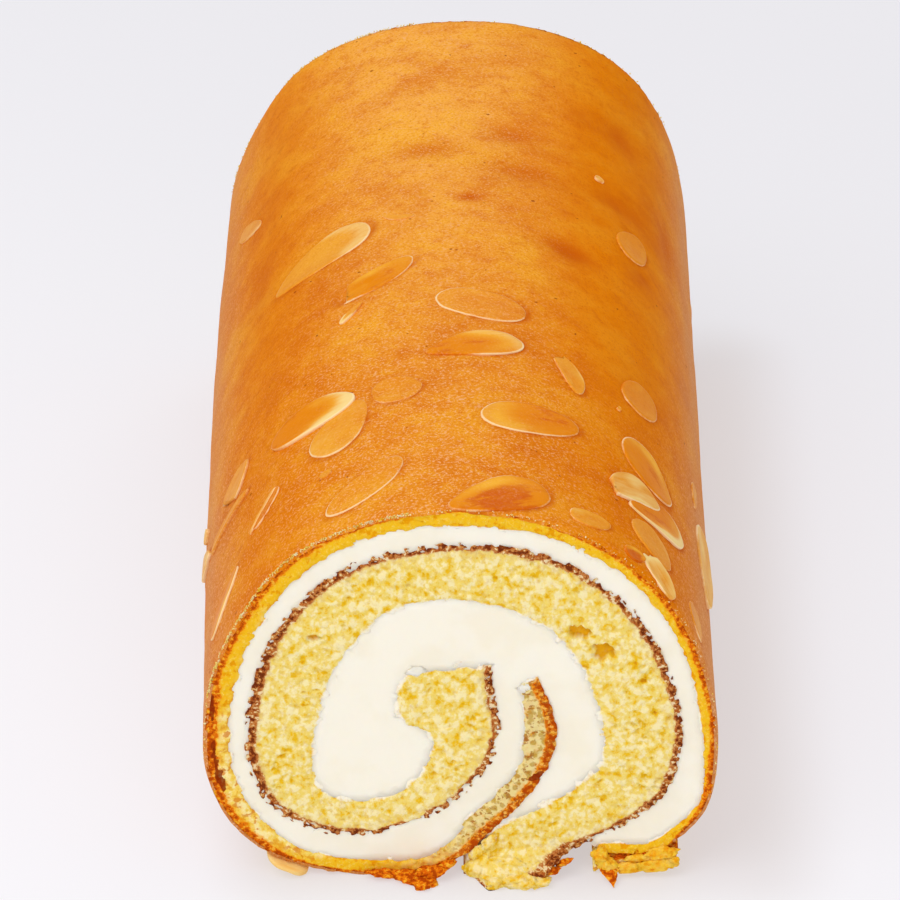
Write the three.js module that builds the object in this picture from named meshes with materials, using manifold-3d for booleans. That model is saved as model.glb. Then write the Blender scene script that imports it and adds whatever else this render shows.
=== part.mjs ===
// A swiss roll cake, cut square at both ends and lying on its side.
//
// Two sheets of sponge spiral round each other: a thin outer wrap, whose inner end is the strip in the
// middle of the roll, and a thick inner sponge. One body of cream fills all the room between them.
// Almond flakes lie on the browned skin of the wrap. Everything runs along Y, from cut face to cut face.
//
// Units are millimetres and +Z is up. The origin is the middle of the underside. The section is drawn as
// it is seen at the near cut face (-Y), with +X to the right, and the table is at Z = 0.

import * as THREE from 'three';
import { mergeVertices } from 'three/addons/utils/BufferGeometryUtils.js';
import Module from 'manifold-3d';

const wasm = await Module();
wasm.setup();

// ---------------------------------------------------------------- driving dimensions

const LENGTH = 176; // the roll, from cut face to cut face
const LENGTH_STEPS = 4; // stretches that follow the slight swelling along the length
const SIDE_SWELL = 1.2; // how far the left flank bellies out at mid-length
const SHOULDER_RISE = 2.4; // how much fuller the right shoulder is at the far cut face
const SHOULDER_CLOCK = 46; // degrees clockwise from the top to the middle of that shoulder
const SHOULDER_SPREAD = 52; // degrees from its middle to where it fades out
const RIM = 42; // distance from the hub at which the shoulder rises in full
const HALF_WIDTH = 45; // where the left flank bellies out in full
const GAP = 0.3; // kept between neighbouring pieces
const OVERRUN = 2; // how far the shapes that cut others reach past both cut faces
const WELD = 1e-4; // points closer than this are one
const FACET = 3.2; // spacing of the points along a sheet
const CRUMB_STEP = 0.6; // where the crumb side is wound tighter than this, its points are left out
const HUB = new THREE.Vector2(0, 36); // the middle of the section, which clock angles are told from

// A sheet of sponge is told by its browned side. Each row is a place [x, z] which that side passes, going
// clockwise from the inner end to the outer end, and the depth of the crumb there.
const WRAP_GUIDE = [
  [13.2, 41.2, 3.3],
  [15.2, 36.3, 4.9],
  [16.5, 30, 6],
  [14.6, 22, 5],
  [10.6, 15.6, 4.8],
  [5, 9.2, 4.8],
  [-0.5, 3.2, 4.2],
  [-7, 0.2, 3.6],
  [-17, -0.2, 3.8],
  [-27, 1.6, 3.6],
  [-35, 5.4, 4.9],
  [-41, 12, 5.4],
  [-44.4, 21, 5.2],
  [-44.8, 31, 4.9],
  [-43.1, 42.5, 4.9],
  [-38.4, 54, 4.4],
  [-30, 66, 4.6],
  [-16, 73.8, 3.7],
  [0, 76.2, 3.7],
  [15, 73.6, 3.5],
  [28.5, 66, 3.3],
  [37.6, 55.2, 3.3],
  [43, 41.5, 3.1],
  [44.9, 27.5, 3],
  [43.5, 14.6, 2.2],
  [39.8, 8.8, 2.7],
  [34.4, 4.2, 3.2],
];

const SPONGE_GUIDE = [
  [5, 44.6, 13.5],
  [5.5, 38.5, 17.6],
  [6.7, 31, 13.6],
  [4.6, 23, 11.4],
  [-3, 14, 8.6],
  [-13, 9.4, 7.6],
  [-24, 9.2, 8.4],
  [-32.6, 14, 10.3],
  [-37, 24, 12.1],
  [-36.9, 34.5, 12.9],
  [-34, 46.2, 13.2],
  [-28, 57, 13.3],
  [-17, 65.6, 12],
  [-4, 68.8, 12],
  [8, 68.4, 13],
  [20, 63.9, 13.4],
  [30, 54.6, 14],
  [36.4, 41.6, 14.4],
  [38.4, 28, 14.2],
  [35.4, 17, 13.2],
  [28.6, 10.6, 12.4],
  [20.4, 5.8, 11.2],
  [13, 1.4, 11.4],
  [6, -0.6, 9.4],
  [0.6, 0.2, 3.4],
];

// The end of the wrap is tucked under the roll at the right, as a flat lens with a blunt outer side.
const TUCK = { x: 30.1, z: 3.1, halfWidth: 7.6, halfHeight: 3.6, points: 20 };

// The block of space under the table, larger than the roll's underside.
const UNDER = { width: 160, length: 216, deep: 20 };

// The cream is what is left between the sheets, inside the wrap's browned side. Its outline cuts across
// the foot of the inner sponge between the tucked end and the strip.
const CREAM_INSET = 1.2; // how far inside the browned side the cream's block is drawn
const CREAM_FROM = 0.235; // the share of the wrap's length where the block's outline starts
const CREAM_TO = 0.985; // the share where it ends, beside the tucked end
const CREAM_FOOT = [[24.2, 6.9], [19, 8]]; // the outline's corners [x, z] over the sponge's foot

// Almond flakes. clock is the angle round the roll, in degrees clockwise from the top, and back the
// distance of the middle from the near cut face. turn is the long axis, in degrees from the roll's axis
// towards clockwise. A flake on a higher layer lies on the flakes under it.
const FLAKE_THICK = 0.8;
const FLAKE_LIFT = 0.45; // under a flake of the lowest layer
const FLAKE_RIM = 14; // points round a flake
const FLAKE_POINT = 0.3; // how much a flake narrows towards its tip
const SKIN_TO = 0.97; // the share of the wrap's length where the skin for the flakes ends
const SKIN_SAMPLES = 500;
const FLAKES = [
  { clock: -36.3, back: 96.8, long: 21.5, wide: 9.5, turn: 245 },
  { clock: -21.3, back: 81.5, long: 17, wide: 6.5, turn: 56 },
  { clock: 5.4, back: 69.2, long: 17, wide: 9.5, turn: 287 },
  { clock: 3.7, back: 55, long: 18, wide: 7.6, turn: 255 },
  { clock: 28.4, back: 52.1, long: 12.6, wide: 4.2, turn: 158 },
  { clock: 49.6, back: 110.3, long: 10.5, wide: 7.5, turn: 24 },
  { clock: 50.5, back: 57.7, long: 11, wide: 9, turn: 32 },
  { clock: -15.8, back: 41.4, long: 9, wide: 8.5, turn: 93 },
  { clock: -29.9, back: 33.6, long: 16.2, wide: 9.5, turn: 25 },
  { clock: -37.9, back: 41, long: 17.5, wide: 9.3, turn: 263, layer: 1 },
  { clock: 17.8, back: 32.6, long: 18.5, wide: 9.5, turn: 80 },
  { clock: 52.6, back: 36, long: 14.5, wide: 11.2, turn: 126 },
  { clock: 46.3, back: 24, long: 13.4, wide: 7.2, turn: 60, layer: 1 },
  { clock: 55.6, back: 22.8, long: 17, wide: 8, turn: 246 },
  { clock: -66.6, back: 44.6, long: 10.6, wide: 7.2, turn: 63 },
  { clock: -52, back: 23.2, long: 9, wide: 3.6, turn: 56 },
  { clock: -23.5, back: 12.2, long: 18.3, wide: 7.2, turn: 47 },
  { clock: 9.3, back: 6.8, long: 19.4, wide: 9, turn: 242 },
  { clock: 33.2, back: 6.5, long: 8.5, wide: 4.6, turn: 75 },
  { clock: -64.9, back: 133.5, long: 11, wide: 4, turn: 130 },
  { clock: 52.8, back: 12.4, long: 11, wide: 8, turn: 124 },
  { clock: 54.5, back: 3.8, long: 9.6, wide: 5.2, turn: 130 },
  { clock: 77.6, back: 53.2, long: 7, wide: 2.6, turn: 174 },
  { clock: 83.5, back: 36.4, long: 20.5, wide: 6, turn: 168 },
  { clock: 73, back: 7.2, long: 8, wide: 5, turn: 148 },
  { clock: -90, back: 45, long: 12, wide: 4, turn: 125 },
  { clock: -73, back: 13.8, long: 14, wide: 6, turn: 65 },
  { clock: -70.9, back: 37.6, long: 16.6, wide: 2.2, turn: 97 },
  { clock: -114, back: 62, long: 19, wide: 9, turn: 20 },
  { clock: -109, back: 92, long: 20, wide: 8, turn: 160 },
  { clock: -120, back: 120, long: 16, wide: 8, turn: 25 },
  { clock: -111, back: 149, long: 18, wide: 8, turn: 20 },
  { clock: 113, back: 74, long: 19, wide: 8, turn: 22 },
  { clock: 110, back: 104, long: 21, wide: 9, turn: 10 },
  { clock: 116, back: 130, long: 17, wide: 8, turn: 165 },
  { clock: 108, back: 154, long: 15, wide: 7, turn: 30 },
  { clock: 116, back: 24, long: 16, wide: 8, turn: 160 },
];

// One flake is caught under the left of the roll, and its end shows below the near cut face.
const CAUGHT_FLAKE = { x: -30.4, z: 1.9, long: 8.6, thick: 1.5, slope: -24, from: -1.2, to: 15 };

const COLOURS = {
  wrap: { color: 0xe39a3c, roughness: 0.62 },
  sponge: { color: 0xf2dc86, roughness: 0.85 },
  cream: { color: 0xf8f3e6, roughness: 0.5 },
  almond: { color: 0xecb866, roughness: 0.45 },
};

// ---------------------------------------------------------------- solids and their joining

/** A closed geometry as a solid that can be joined and cut. */
function toSolid(geometry) {
  const bare = geometry.clone();
  bare.deleteAttribute('normal');
  bare.deleteAttribute('uv');
  const closed = mergeVertices(bare, WELD);
  return new wasm.Manifold(new wasm.Mesh({
    numProp: 3,
    vertProperties: new Float32Array(closed.attributes.position.array),
    triVerts: new Uint32Array(closed.index.array),
  }));
}

/** A solid as a geometry. */
function toGeometry(solid) {
  const mesh = solid.getMesh();
  const geometry = new THREE.BufferGeometry();
  geometry.setAttribute('position', new THREE.BufferAttribute(mesh.vertProperties, 3));
  geometry.setIndex(new THREE.BufferAttribute(mesh.triVerts, 1));
  geometry.computeVertexNormals();
  return geometry;
}

/** The largest body of a solid, without the slivers that a cut may leave beside it. */
function largestBody(solid) {
  const bodies = solid.decompose();
  return bodies.reduce((best, body) => (body.volume() > best.volume() ? body : best));
}

// ---------------------------------------------------------------- the roll's overall form

/** Moves a point of the straight roll to where it is in the real one, which was rolled by hand. */
function settle(point) {
  const spoke = new THREE.Vector2(point.x, point.z).sub(HUB);
  const rim = spoke.length() / RIM;
  const clock = THREE.MathUtils.radToDeg(Math.atan2(spoke.x, spoke.y));
  const along = THREE.MathUtils.clamp(point.y / LENGTH + 0.5, 0, 1);

  const left = THREE.MathUtils.smoothstep(-point.x, 0, HALF_WIDTH);
  const belly = SIDE_SWELL * left * Math.sin(Math.PI * along);
  const shoulder = 1 - THREE.MathUtils.smoothstep(Math.abs(clock - SHOULDER_CLOCK), 0, SHOULDER_SPREAD);
  const rise = SHOULDER_RISE * shoulder * along * along * rim * rim;
  spoke.setLength(spoke.length() + rise).add(HUB);
  return point.set(spoke.x - belly, point.y, spoke.y);
}

/** Settles every vertex of a geometry. */
function settleGeometry(geometry) {
  const place = geometry.attributes.position;
  const point = new THREE.Vector3();
  for (let i = 0; i < place.count; i += 1) {
    point.fromBufferAttribute(place, i);
    settle(point);
    place.setXYZ(i, point.x, point.y, point.z);
  }
  return geometry;
}

/** A prism of a section outline (x, z), along Y over the whole roll and past both ends by extra. */
function prism(outline, extra = 0) {
  const depth = LENGTH + 2 * extra;
  const shape = new THREE.Shape(outline);
  const settings = { depth, steps: LENGTH_STEPS, bevelEnabled: false };
  const geometry = new THREE.ExtrudeGeometry(shape, settings);
  geometry.rotateX(Math.PI / 2);
  geometry.translate(0, depth / 2, 0);
  return toSolid(settleGeometry(geometry));
}

/** The space under the table, which flattens whatever would hang below it. */
function underTable() {
  const box = new THREE.BoxGeometry(UNDER.width, UNDER.length, UNDER.deep);
  box.translate(0, 0, -UNDER.deep / 2);
  return toSolid(box);
}

// ---------------------------------------------------------------- the two sheets and the cream

/** The guide rows as a smooth curve whose third coordinate is the depth of the crumb. */
function guideCurve(rows) {
  const stations = rows.map(([x, z, depth]) => new THREE.Vector3(x, z, depth));
  return new THREE.CatmullRomCurve3(stations, false, 'centripetal');
}

/** The place, inward direction and depth of a sheet at a share of its length. */
function station(curve, share) {
  const at = curve.getPointAt(share);
  const along = curve.getTangentAt(share);
  const forward = new THREE.Vector2(along.x, along.y).normalize();
  const inward = new THREE.Vector2(forward.y, -forward.x);
  return { place: new THREE.Vector2(at.x, at.y), forward, inward, depth: at.z };
}

/** The closed outline of a sheet, made larger all round by grow. */
function sheetOutline(rows, grow = 0) {
  const curve = guideCurve(rows);
  const count = Math.round(curve.getLength() / FACET);
  const browned = [];
  const crumb = [];
  for (let i = 0; i <= count; i += 1) {
    const { place, forward, inward, depth } = station(curve, i / count);
    const endShift = grow * (Number(i === count) - Number(i === 0));
    place.addScaledVector(forward, endShift);
    browned.push(place.clone().addScaledVector(inward, -grow));
    const inner = place.clone().addScaledVector(inward, depth + grow);
    const last = crumb[crumb.length - 1];
    if (!last || inner.clone().sub(last).dot(forward) > CRUMB_STEP) {
      crumb.push(inner);
    }
  }
  return [...browned, ...crumb.reverse()];
}

/** The outline of the tucked end, made larger all round by grow. */
function tuckOutline(grow = 0) {
  const outline = [];
  for (let i = 0; i < TUCK.points; i += 1) {
    const angle = (2 * Math.PI * i) / TUCK.points;
    const x = TUCK.x + (TUCK.halfWidth + grow) * Math.cos(angle);
    const z = TUCK.z + (TUCK.halfHeight + grow) * Math.sin(angle);
    outline.push(new THREE.Vector2(x, z));
  }
  return outline;
}

/** The outer wrap with its tucked end, made larger all round by grow. */
function wrapSolid(grow = 0) {
  const extra = grow > 0 ? OVERRUN : 0;
  return prism(sheetOutline(WRAP_GUIDE, grow), extra).add(prism(tuckOutline(grow), extra));
}

/** The thick inner sponge, made larger all round by grow. */
function spongeSolid(grow = 0) {
  return prism(sheetOutline(SPONGE_GUIDE, grow), grow > 0 ? OVERRUN : 0);
}

/** The block that the cream is cut from: the inside of the wrap, closed across the sponge's foot. */
function creamBlock() {
  const curve = guideCurve(WRAP_GUIDE);
  const count = Math.round(curve.getLength() / FACET);
  const outline = [];
  for (let i = 0; i <= count; i += 1) {
    const share = THREE.MathUtils.lerp(CREAM_FROM, CREAM_TO, i / count);
    const { place, inward } = station(curve, share);
    outline.push(place.addScaledVector(inward, CREAM_INSET));
  }
  CREAM_FOOT.forEach(([x, z]) => outline.push(new THREE.Vector2(x, z)));
  return prism(outline);
}

// ---------------------------------------------------------------- almond flakes

/** Samples of the browned skin by clock angle, for what lies on the roll. */
function skinSamples() {
  const curve = guideCurve(WRAP_GUIDE);
  const samples = [];
  for (let i = 0; i <= SKIN_SAMPLES; i += 1) {
    const share = THREE.MathUtils.lerp(CREAM_FROM, SKIN_TO, i / SKIN_SAMPLES);
    const { place, inward } = station(curve, share);
    const spoke = place.clone().sub(HUB);
    const clock = Math.atan2(spoke.x, spoke.y);
    samples.push({ clock, place, outward: inward.clone().negate() });
  }
  return samples;
}

/** The skin's place and outward direction at a clock angle in radians. */
function skinAt(samples, clock) {
  const apart = (sample) => Math.abs(sample.clock - clock);
  const near = samples.reduce((best, sample) => (apart(sample) < apart(best) ? sample : best));
  const step = (clock - near.clock) * near.place.distanceTo(HUB);
  const along = new THREE.Vector2(near.outward.y, -near.outward.x);
  return { place: near.place.clone().addScaledVector(along, step), outward: near.outward };
}

/** One flake: a thin disc drawn out to an almond's outline and bent onto the skin. */
function flakeGeometry(samples, { clock, back, long, wide, turn, layer = 0 }) {
  const disc = new THREE.CylinderGeometry(1, 1, 1, FLAKE_RIM, 1);
  const place = disc.attributes.position;
  const heading = THREE.MathUtils.degToRad(turn);
  const middle = THREE.MathUtils.degToRad(clock);
  const radius = skinAt(samples, middle).place.distanceTo(HUB);
  const point = new THREE.Vector3();
  for (let i = 0; i < place.count; i += 1) {
    const tipward = place.getX(i);
    const u = (long / 2) * tipward;
    const v = (wide / 2) * place.getZ(i) * (1 - FLAKE_POINT * tipward);
    const height = FLAKE_LIFT + layer * (FLAKE_THICK + GAP) + FLAKE_THICK * (place.getY(i) + 0.5);
    const round = u * Math.sin(heading) + v * Math.cos(heading);
    const away = u * Math.cos(heading) - v * Math.sin(heading);
    const skin = skinAt(samples, middle + round / radius);
    skin.place.addScaledVector(skin.outward, height);
    settle(point.set(skin.place.x, away + back - LENGTH / 2, skin.place.y));
    place.setXYZ(i, point.x, point.y, point.z);
  }
  return toGeometry(outwardSolid(disc));
}

/** A closed geometry as a solid with its faces pointing out, whichever way round it was drawn. */
function outwardSolid(geometry) {
  const solid = toSolid(geometry);
  if (solid.volume() > 0) {
    return solid;
  }
  const flipped = geometry.clone();
  const index = flipped.index.array;
  for (let i = 0; i < index.length; i += 3) {
    [index[i], index[i + 1]] = [index[i + 1], index[i]];
  }
  return toSolid(flipped);
}

/** The flake caught under the roll, seen by its end at the near cut face. */
function caughtFlakeGeometry() {
  const { x, z, long, thick, slope, from, to } = CAUGHT_FLAKE;
  const outline = [];
  for (let i = 0; i < FLAKE_RIM; i += 1) {
    const angle = (2 * Math.PI * i) / FLAKE_RIM;
    outline.push(new THREE.Vector2((long / 2) * Math.cos(angle), (thick / 2) * Math.sin(angle)));
  }
  const shape = new THREE.Shape(outline);
  const geometry = new THREE.ExtrudeGeometry(shape, { depth: to - from, steps: 1, bevelEnabled: false });
  geometry.rotateX(Math.PI / 2);
  geometry.rotateY(THREE.MathUtils.degToRad(-slope));
  geometry.translate(x, to - LENGTH / 2, z);
  return toGeometry(toSolid(geometry));
}

// ---------------------------------------------------------------- the assembled roll

/** A named mesh of one piece. */
function piece(name, geometry, look) {
  const mesh = new THREE.Mesh(geometry, new THREE.MeshStandardMaterial({ ...look, metalness: 0 }));
  mesh.name = name;
  return mesh;
}

/** The whole roll, with the middle of its underside at the origin. */
function swissRoll() {
  const table = underTable();
  const wrapRoom = wrapSolid(GAP);
  const wrap = wrapSolid().subtract(table);
  const sponge = largestBody(spongeSolid().subtract(wrapRoom).subtract(table));
  const cream = largestBody(creamBlock().subtract(wrapRoom).subtract(spongeSolid(GAP)).subtract(table));

  const roll = new THREE.Group();
  roll.add(piece('outer_wrap', toGeometry(wrap), COLOURS.wrap));
  roll.add(piece('inner_sponge', toGeometry(sponge), COLOURS.sponge));
  roll.add(piece('cream_filling', toGeometry(cream), COLOURS.cream));

  const samples = skinSamples();
  FLAKES.forEach((flake, i) => {
    const name = `almond_flake_${String(i + 1).padStart(2, '0')}`;
    roll.add(piece(name, flakeGeometry(samples, flake), COLOURS.almond));
  });
  roll.add(piece('almond_flake_caught', caughtFlakeGeometry(), COLOURS.almond));

  const box = new THREE.Box3().setFromObject(roll);
  roll.position.set(-(box.min.x + box.max.x) / 2, -(box.min.y + box.max.y) / 2, -box.min.z);
  return roll;
}

export default swissRoll();
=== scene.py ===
"""A swiss roll cake: a browned sheet and a thick sheet of sponge rolled with cream, almond flakes on top."""

from __future__ import annotations

import logging
import math
from collections.abc import Iterator, Sequence
from contextlib import contextmanager
from dataclasses import dataclass, field
from enum import Enum

import bmesh
import bpy
import numpy as np
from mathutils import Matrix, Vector, noise

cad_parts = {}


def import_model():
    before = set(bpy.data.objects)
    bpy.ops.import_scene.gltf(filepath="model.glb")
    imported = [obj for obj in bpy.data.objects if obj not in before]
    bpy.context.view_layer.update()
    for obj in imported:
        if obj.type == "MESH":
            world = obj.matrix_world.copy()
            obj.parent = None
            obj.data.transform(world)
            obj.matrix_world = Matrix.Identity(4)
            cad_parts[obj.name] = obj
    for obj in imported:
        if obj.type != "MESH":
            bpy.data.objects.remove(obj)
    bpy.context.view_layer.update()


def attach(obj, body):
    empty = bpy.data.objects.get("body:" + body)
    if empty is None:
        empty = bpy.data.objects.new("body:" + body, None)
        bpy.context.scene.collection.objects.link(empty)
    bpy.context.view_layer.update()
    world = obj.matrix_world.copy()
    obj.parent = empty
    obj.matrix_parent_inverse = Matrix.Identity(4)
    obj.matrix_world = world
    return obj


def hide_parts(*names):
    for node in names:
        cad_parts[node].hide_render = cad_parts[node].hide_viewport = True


LOG = logging.getLogger("swiss_roll")
MM = 0.001
FACES_APART = 40.0  # how far from the middle the unevenness of a cut face is read, so that the two differ

Array = np.ndarray
Material = bpy.types.Material
Piece = bpy.types.Object
Socket = bpy.types.NodeSocket
Pair = tuple[float, float]
Triple = tuple[float, float, float]
Colour = tuple[float, float, float, float]


# ---------------- small tools


def tint(code: str) -> Colour:
    """A colour for a shader socket.

    Args:
        code: The colour as six hexadecimal digits, as it looks on a screen.

    Returns:
        The same colour in linear light, opaque.
    """
    parts = [int(code[i : i + 2], 16) / 255 for i in (0, 2, 4)]
    linear = [c / 12.92 if c <= 0.04045 else ((c + 0.055) / 1.055) ** 2.4 for c in parts]
    return (*linear, 1.0)


def smooth(value: Array | float, low: float, high: float) -> Array:
    """A soft step from 0 at low to 1 at high."""
    share = np.clip((np.asarray(value, float) - low) / (high - low), 0, 1)
    return share * share * (3 - 2 * share)


def bump(value: Array | float, middle: float, spread: float) -> Array:
    """A soft bell that is 1 at the middle and falls away over the spread."""
    return np.exp(-(((np.asarray(value, float) - middle) / spread) ** 2))


def stack(*columns: Array) -> Array:
    """Puts columns side by side, so that each place is a row."""
    return np.column_stack(columns)


def grain(points: Array, size: Sequence[float] | float, seed: float, octaves: int = 3) -> Array:
    """Soft seeded unevenness.

    Args:
        points: Rows of three coordinates.
        size: How large the unevenness is along each coordinate, in the points' own unit.
        seed: Which of the endless patterns to take.
        octaves: How many finer copies are laid over the first.

    Returns:
        One value a row, mostly between -1 and 1.
    """
    scaled = points / np.asarray(size, float) + np.array([seed, 1.7 * seed, -0.6 * seed])
    return np.array([noise.fractal(Vector(row), 1.0, 2.0, octaves) for row in scaled])


def cells(points: Array, size: Sequence[float] | float, seed: float) -> Array:
    """Bubbles packed side by side: 0 on the walls between them and up to about 1 in their middles."""
    scaled = points / np.asarray(size, float) + np.array([seed, -seed, 2.3 * seed])
    near = [noise.voronoi(Vector(row))[0] for row in scaled]
    return np.array([row[1] - row[0] for row in near])


@contextmanager
def edit_mode() -> Iterator[None]:
    """Opens the active object in edit mode, with its whole mesh selected.

    Yields:
        Nothing, while the object is open.
    """
    bpy.ops.object.mode_set(mode="EDIT")
    bpy.ops.mesh.select_all(action="SELECT")
    yield
    bpy.ops.object.mode_set(mode="OBJECT")


def clear_selection() -> None:
    """Leaves nothing selected, so that the next operator acts on its own object only."""
    if bpy.context.object and bpy.context.object.mode != "OBJECT":
        bpy.ops.object.mode_set(mode="OBJECT")
    bpy.ops.object.select_all(action="DESELECT")


def newest(name: str) -> Piece:
    """Names the object that an operator has just added."""
    obj = bpy.context.object
    obj.name = obj.data.name = name
    return obj


def take(obj: Piece) -> None:
    """Makes an object the only one selected, and the active one."""
    clear_selection()
    obj.select_set(True)
    bpy.context.view_layer.objects.active = obj


def apply_modifiers(obj: Piece) -> None:
    """Turns every modifier of an object into mesh."""
    take(obj)
    for modifier in list(obj.modifiers):
        bpy.ops.object.modifier_apply(modifier=modifier.name)


def join(parts: Sequence[Piece], name: str) -> Piece:
    """Joins objects into one.

    Args:
        parts: The objects, at least one.
        name: What the joined object is called.

    Returns:
        The joined object.
    """
    clear_selection()
    for part in parts:
        part.select_set(True)
    bpy.context.view_layer.objects.active = parts[0]
    bpy.ops.object.join()
    parts[0].name = parts[0].data.name = name
    return parts[0]


def places(obj: Piece) -> Array:
    """The vertices of an object, one row each."""
    flat = np.empty(len(obj.data.vertices) * 3)
    obj.data.vertices.foreach_get("co", flat)
    return flat.reshape(-1, 3)


def put_places(obj: Piece, points: Array) -> None:
    """Moves the vertices of an object to the given rows."""
    obj.data.vertices.foreach_set("co", np.ascontiguousarray(points, float).ravel())
    obj.data.update()


def put_masks(obj: Piece, **masks: Array | float) -> None:
    """Stores numbers, each one a vertex or the same all over, under the names that the finishes read."""
    for name, values in masks.items():
        mask = obj.data.attributes.new(name, "FLOAT", "POINT")
        mask.data.foreach_set("value", np.full(len(obj.data.vertices), values, np.float32))


def put_flat_map(obj: Piece, across: Array, down: Array) -> None:
    """Stores each vertex's place on the flat sheet as the piece's UV map.

    Args:
        obj: The piece.
        across: Metres along the sheet, one a vertex.
        down: Metres below its browned side, one a vertex.
    """
    layer = obj.data.uv_layers.get("flat") or obj.data.uv_layers.new(name="flat")
    corner = np.empty(len(obj.data.loops), np.int32)
    obj.data.loops.foreach_get("vertex_index", corner)
    uv = stack(across[corner], down[corner]).astype(np.float32)
    layer.data.foreach_set("uv", uv.ravel())


def shade(obj: Piece, finish: Material) -> None:
    """Gives a piece its only finish and smooth shading."""
    obj.data.materials.clear()
    obj.data.materials.append(finish)
    take(obj)
    bpy.ops.object.shade_smooth()


def seat(obj: Piece, nodes: Sequence[str] = ()) -> None:
    """Fixes a finished piece to the cake.

    Args:
        obj: The piece.
        nodes: The CAD nodes that it stands for.
    """
    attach(obj, "root")
    if nodes:
        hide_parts(*nodes)
    LOG.info("%s: %d faces", obj.name, len(obj.data.polygons))


# ---------------- shader nodes


class Shader:
    """A node material that is wired by small calls."""

    def __init__(self, name: str) -> None:
        """Starts a material of the given name with nothing but its output and a principled shader."""
        self.material = bpy.data.materials.new(name)
        self.material.use_nodes = True
        self.tree = self.material.node_tree
        self.surface = self.tree.nodes["Principled BSDF"]

    def node(
        self, kind: str, inputs: dict[str | int, object] | None = None, **settings: object
    ) -> bpy.types.Node:
        """Adds a node.

        Args:
            kind: The node's type name.
            inputs: Sockets by name or number, each with a value or with the socket that feeds it.
            **settings: Properties of the node itself.

        Returns:
            The node.
        """
        made = self.tree.nodes.new(kind)
        for key, value in settings.items():
            setattr(made, key, value)
        for key, value in (inputs or {}).items():
            self.feed(made.inputs[key], value)
        return made

    def feed(self, socket: Socket, value: object) -> None:
        """Links a socket to its feed, or sets its value."""
        if isinstance(value, Socket):
            self.tree.links.new(value, socket)
        else:
            socket.default_value = value

    def set(self, **values: object) -> None:
        """Sets or links inputs of the principled shader, with underscores for the spaces in their names."""
        for key, value in values.items():
            self.feed(self.surface.inputs[key.replace("_", " ")], value)

    def mask(self, name: str) -> Socket:
        """A number stored on the mesh."""
        return self.node("ShaderNodeAttribute", attribute_name=name).outputs["Fac"]

    def here(self) -> Socket:
        """The place on the object, in metres."""
        return self.node("ShaderNodeTexCoord").outputs["Object"]

    def flat(self) -> Socket:
        """The place on the flat sheet: along it, below its skin, and along the roll, in metres."""
        flat_map = self.node("ShaderNodeUVMap", uv_map="flat").outputs[0]
        sheet = self.node("ShaderNodeSeparateXYZ", {0: flat_map})
        roll = self.node("ShaderNodeSeparateXYZ", {0: self.here()})
        parts = {"X": sheet.outputs["X"], "Y": sheet.outputs["Y"], "Z": roll.outputs["Y"]}
        return self.node("ShaderNodeCombineXYZ", parts).outputs[0]

    def stretched(self, where: Socket, sizes: Triple) -> Socket:
        """Coordinates in which a pattern of size 1 comes out at the given sizes in millimetres."""
        scale = tuple(1 / (MM * size) for size in sizes)
        return self.node("ShaderNodeMapping", {"Vector": where, "Scale": scale}).outputs[0]

    def noise(self, where: Socket, sizes: Triple, detail: float, rough: float, warp: float = 0) -> Socket:
        """Soft noise from 0 to 1.

        Args:
            where: Coordinates in metres.
            sizes: How large its clouds are along them, in millimetres.
            detail: How many finer copies are laid over it.
            rough: How strong those are.
            warp: How far it is pushed about.

        Returns:
            The noise.
        """
        spread = self.stretched(where, sizes)
        spread = self.warped(spread, warp) if warp else spread
        inputs = {"Vector": spread, "Scale": 1.0, "Detail": detail, "Roughness": rough}
        return self.node("ShaderNodeTexNoise", inputs).outputs[0]

    def bubbles(self, where: Socket, sizes: Triple, warp: float) -> Socket:
        """Distance from the middles of scattered bubbles, sized in millimetres and pushed about."""
        inputs = {"Vector": self.warped(self.stretched(where, sizes), warp), "Scale": 1.0, "Randomness": 1.0}
        return self.node("ShaderNodeTexVoronoi", inputs, feature="F1").outputs["Distance"]

    def warped(self, where: Socket, amount: float) -> Socket:
        """Coordinates pushed about by their own noise, so that shapes lose their roundness."""
        inputs = {"Vector": where, "Scale": 0.9, "Detail": 2.0}
        push = self.node("ShaderNodeTexNoise", inputs).outputs["Color"]
        scaled = self.node("ShaderNodeVectorMath", {0: push, 3: amount}, operation="SCALE").outputs[0]
        return self.node("ShaderNodeVectorMath", {0: where, 1: scaled}, operation="ADD").outputs[0]

    def ramp(self, share: Socket, low: float, high: float) -> Socket:
        """A number taken softly from 0 at low to 1 at high. High may be the smaller."""
        inputs = {"Value": share, "From Min": low, "From Max": high}
        return self.node("ShaderNodeMapRange", inputs, interpolation_type="SMOOTHSTEP").outputs[0]

    def sum(self, how: str, first: object, second: object) -> Socket:
        """Two numbers taken together by a named operation, kept between 0 and 1."""
        return self.node("ShaderNodeMath", {0: first, 1: second}, operation=how, use_clamp=True).outputs[0]

    def free(self, how: str, first: object, second: object) -> Socket:
        """Two numbers taken together by a named operation, of any size."""
        return self.node("ShaderNodeMath", {0: first, 1: second}, operation=how).outputs[0]

    def both(self, first: object, second: object) -> Socket:
        """How far two masks hold together, from 0 to 1."""
        return self.sum("MULTIPLY", first, second)

    def part(self, share: Socket, low: float, high: float, most: float) -> Socket:
        """A number taken softly from 0 at low to most at high."""
        return self.both(self.ramp(share, low, high), most)

    def total(self, *weighed: tuple[Socket, float]) -> Socket:
        """Numbers added up, each times its weight."""
        first, *others = (self.free("MULTIPLY", value, weight) for value, weight in weighed)
        for other in others:
            first = self.free("ADD", first, other)
        return first

    def stirred(self, value: object, pattern: Socket, amount: float) -> Socket:
        """A number pushed up and down by a pattern from 0 to 1, which makes its outline ragged."""
        return self.free("ADD", value, self.free("MULTIPLY", self.free("SUBTRACT", pattern, 0.5), amount))

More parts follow.
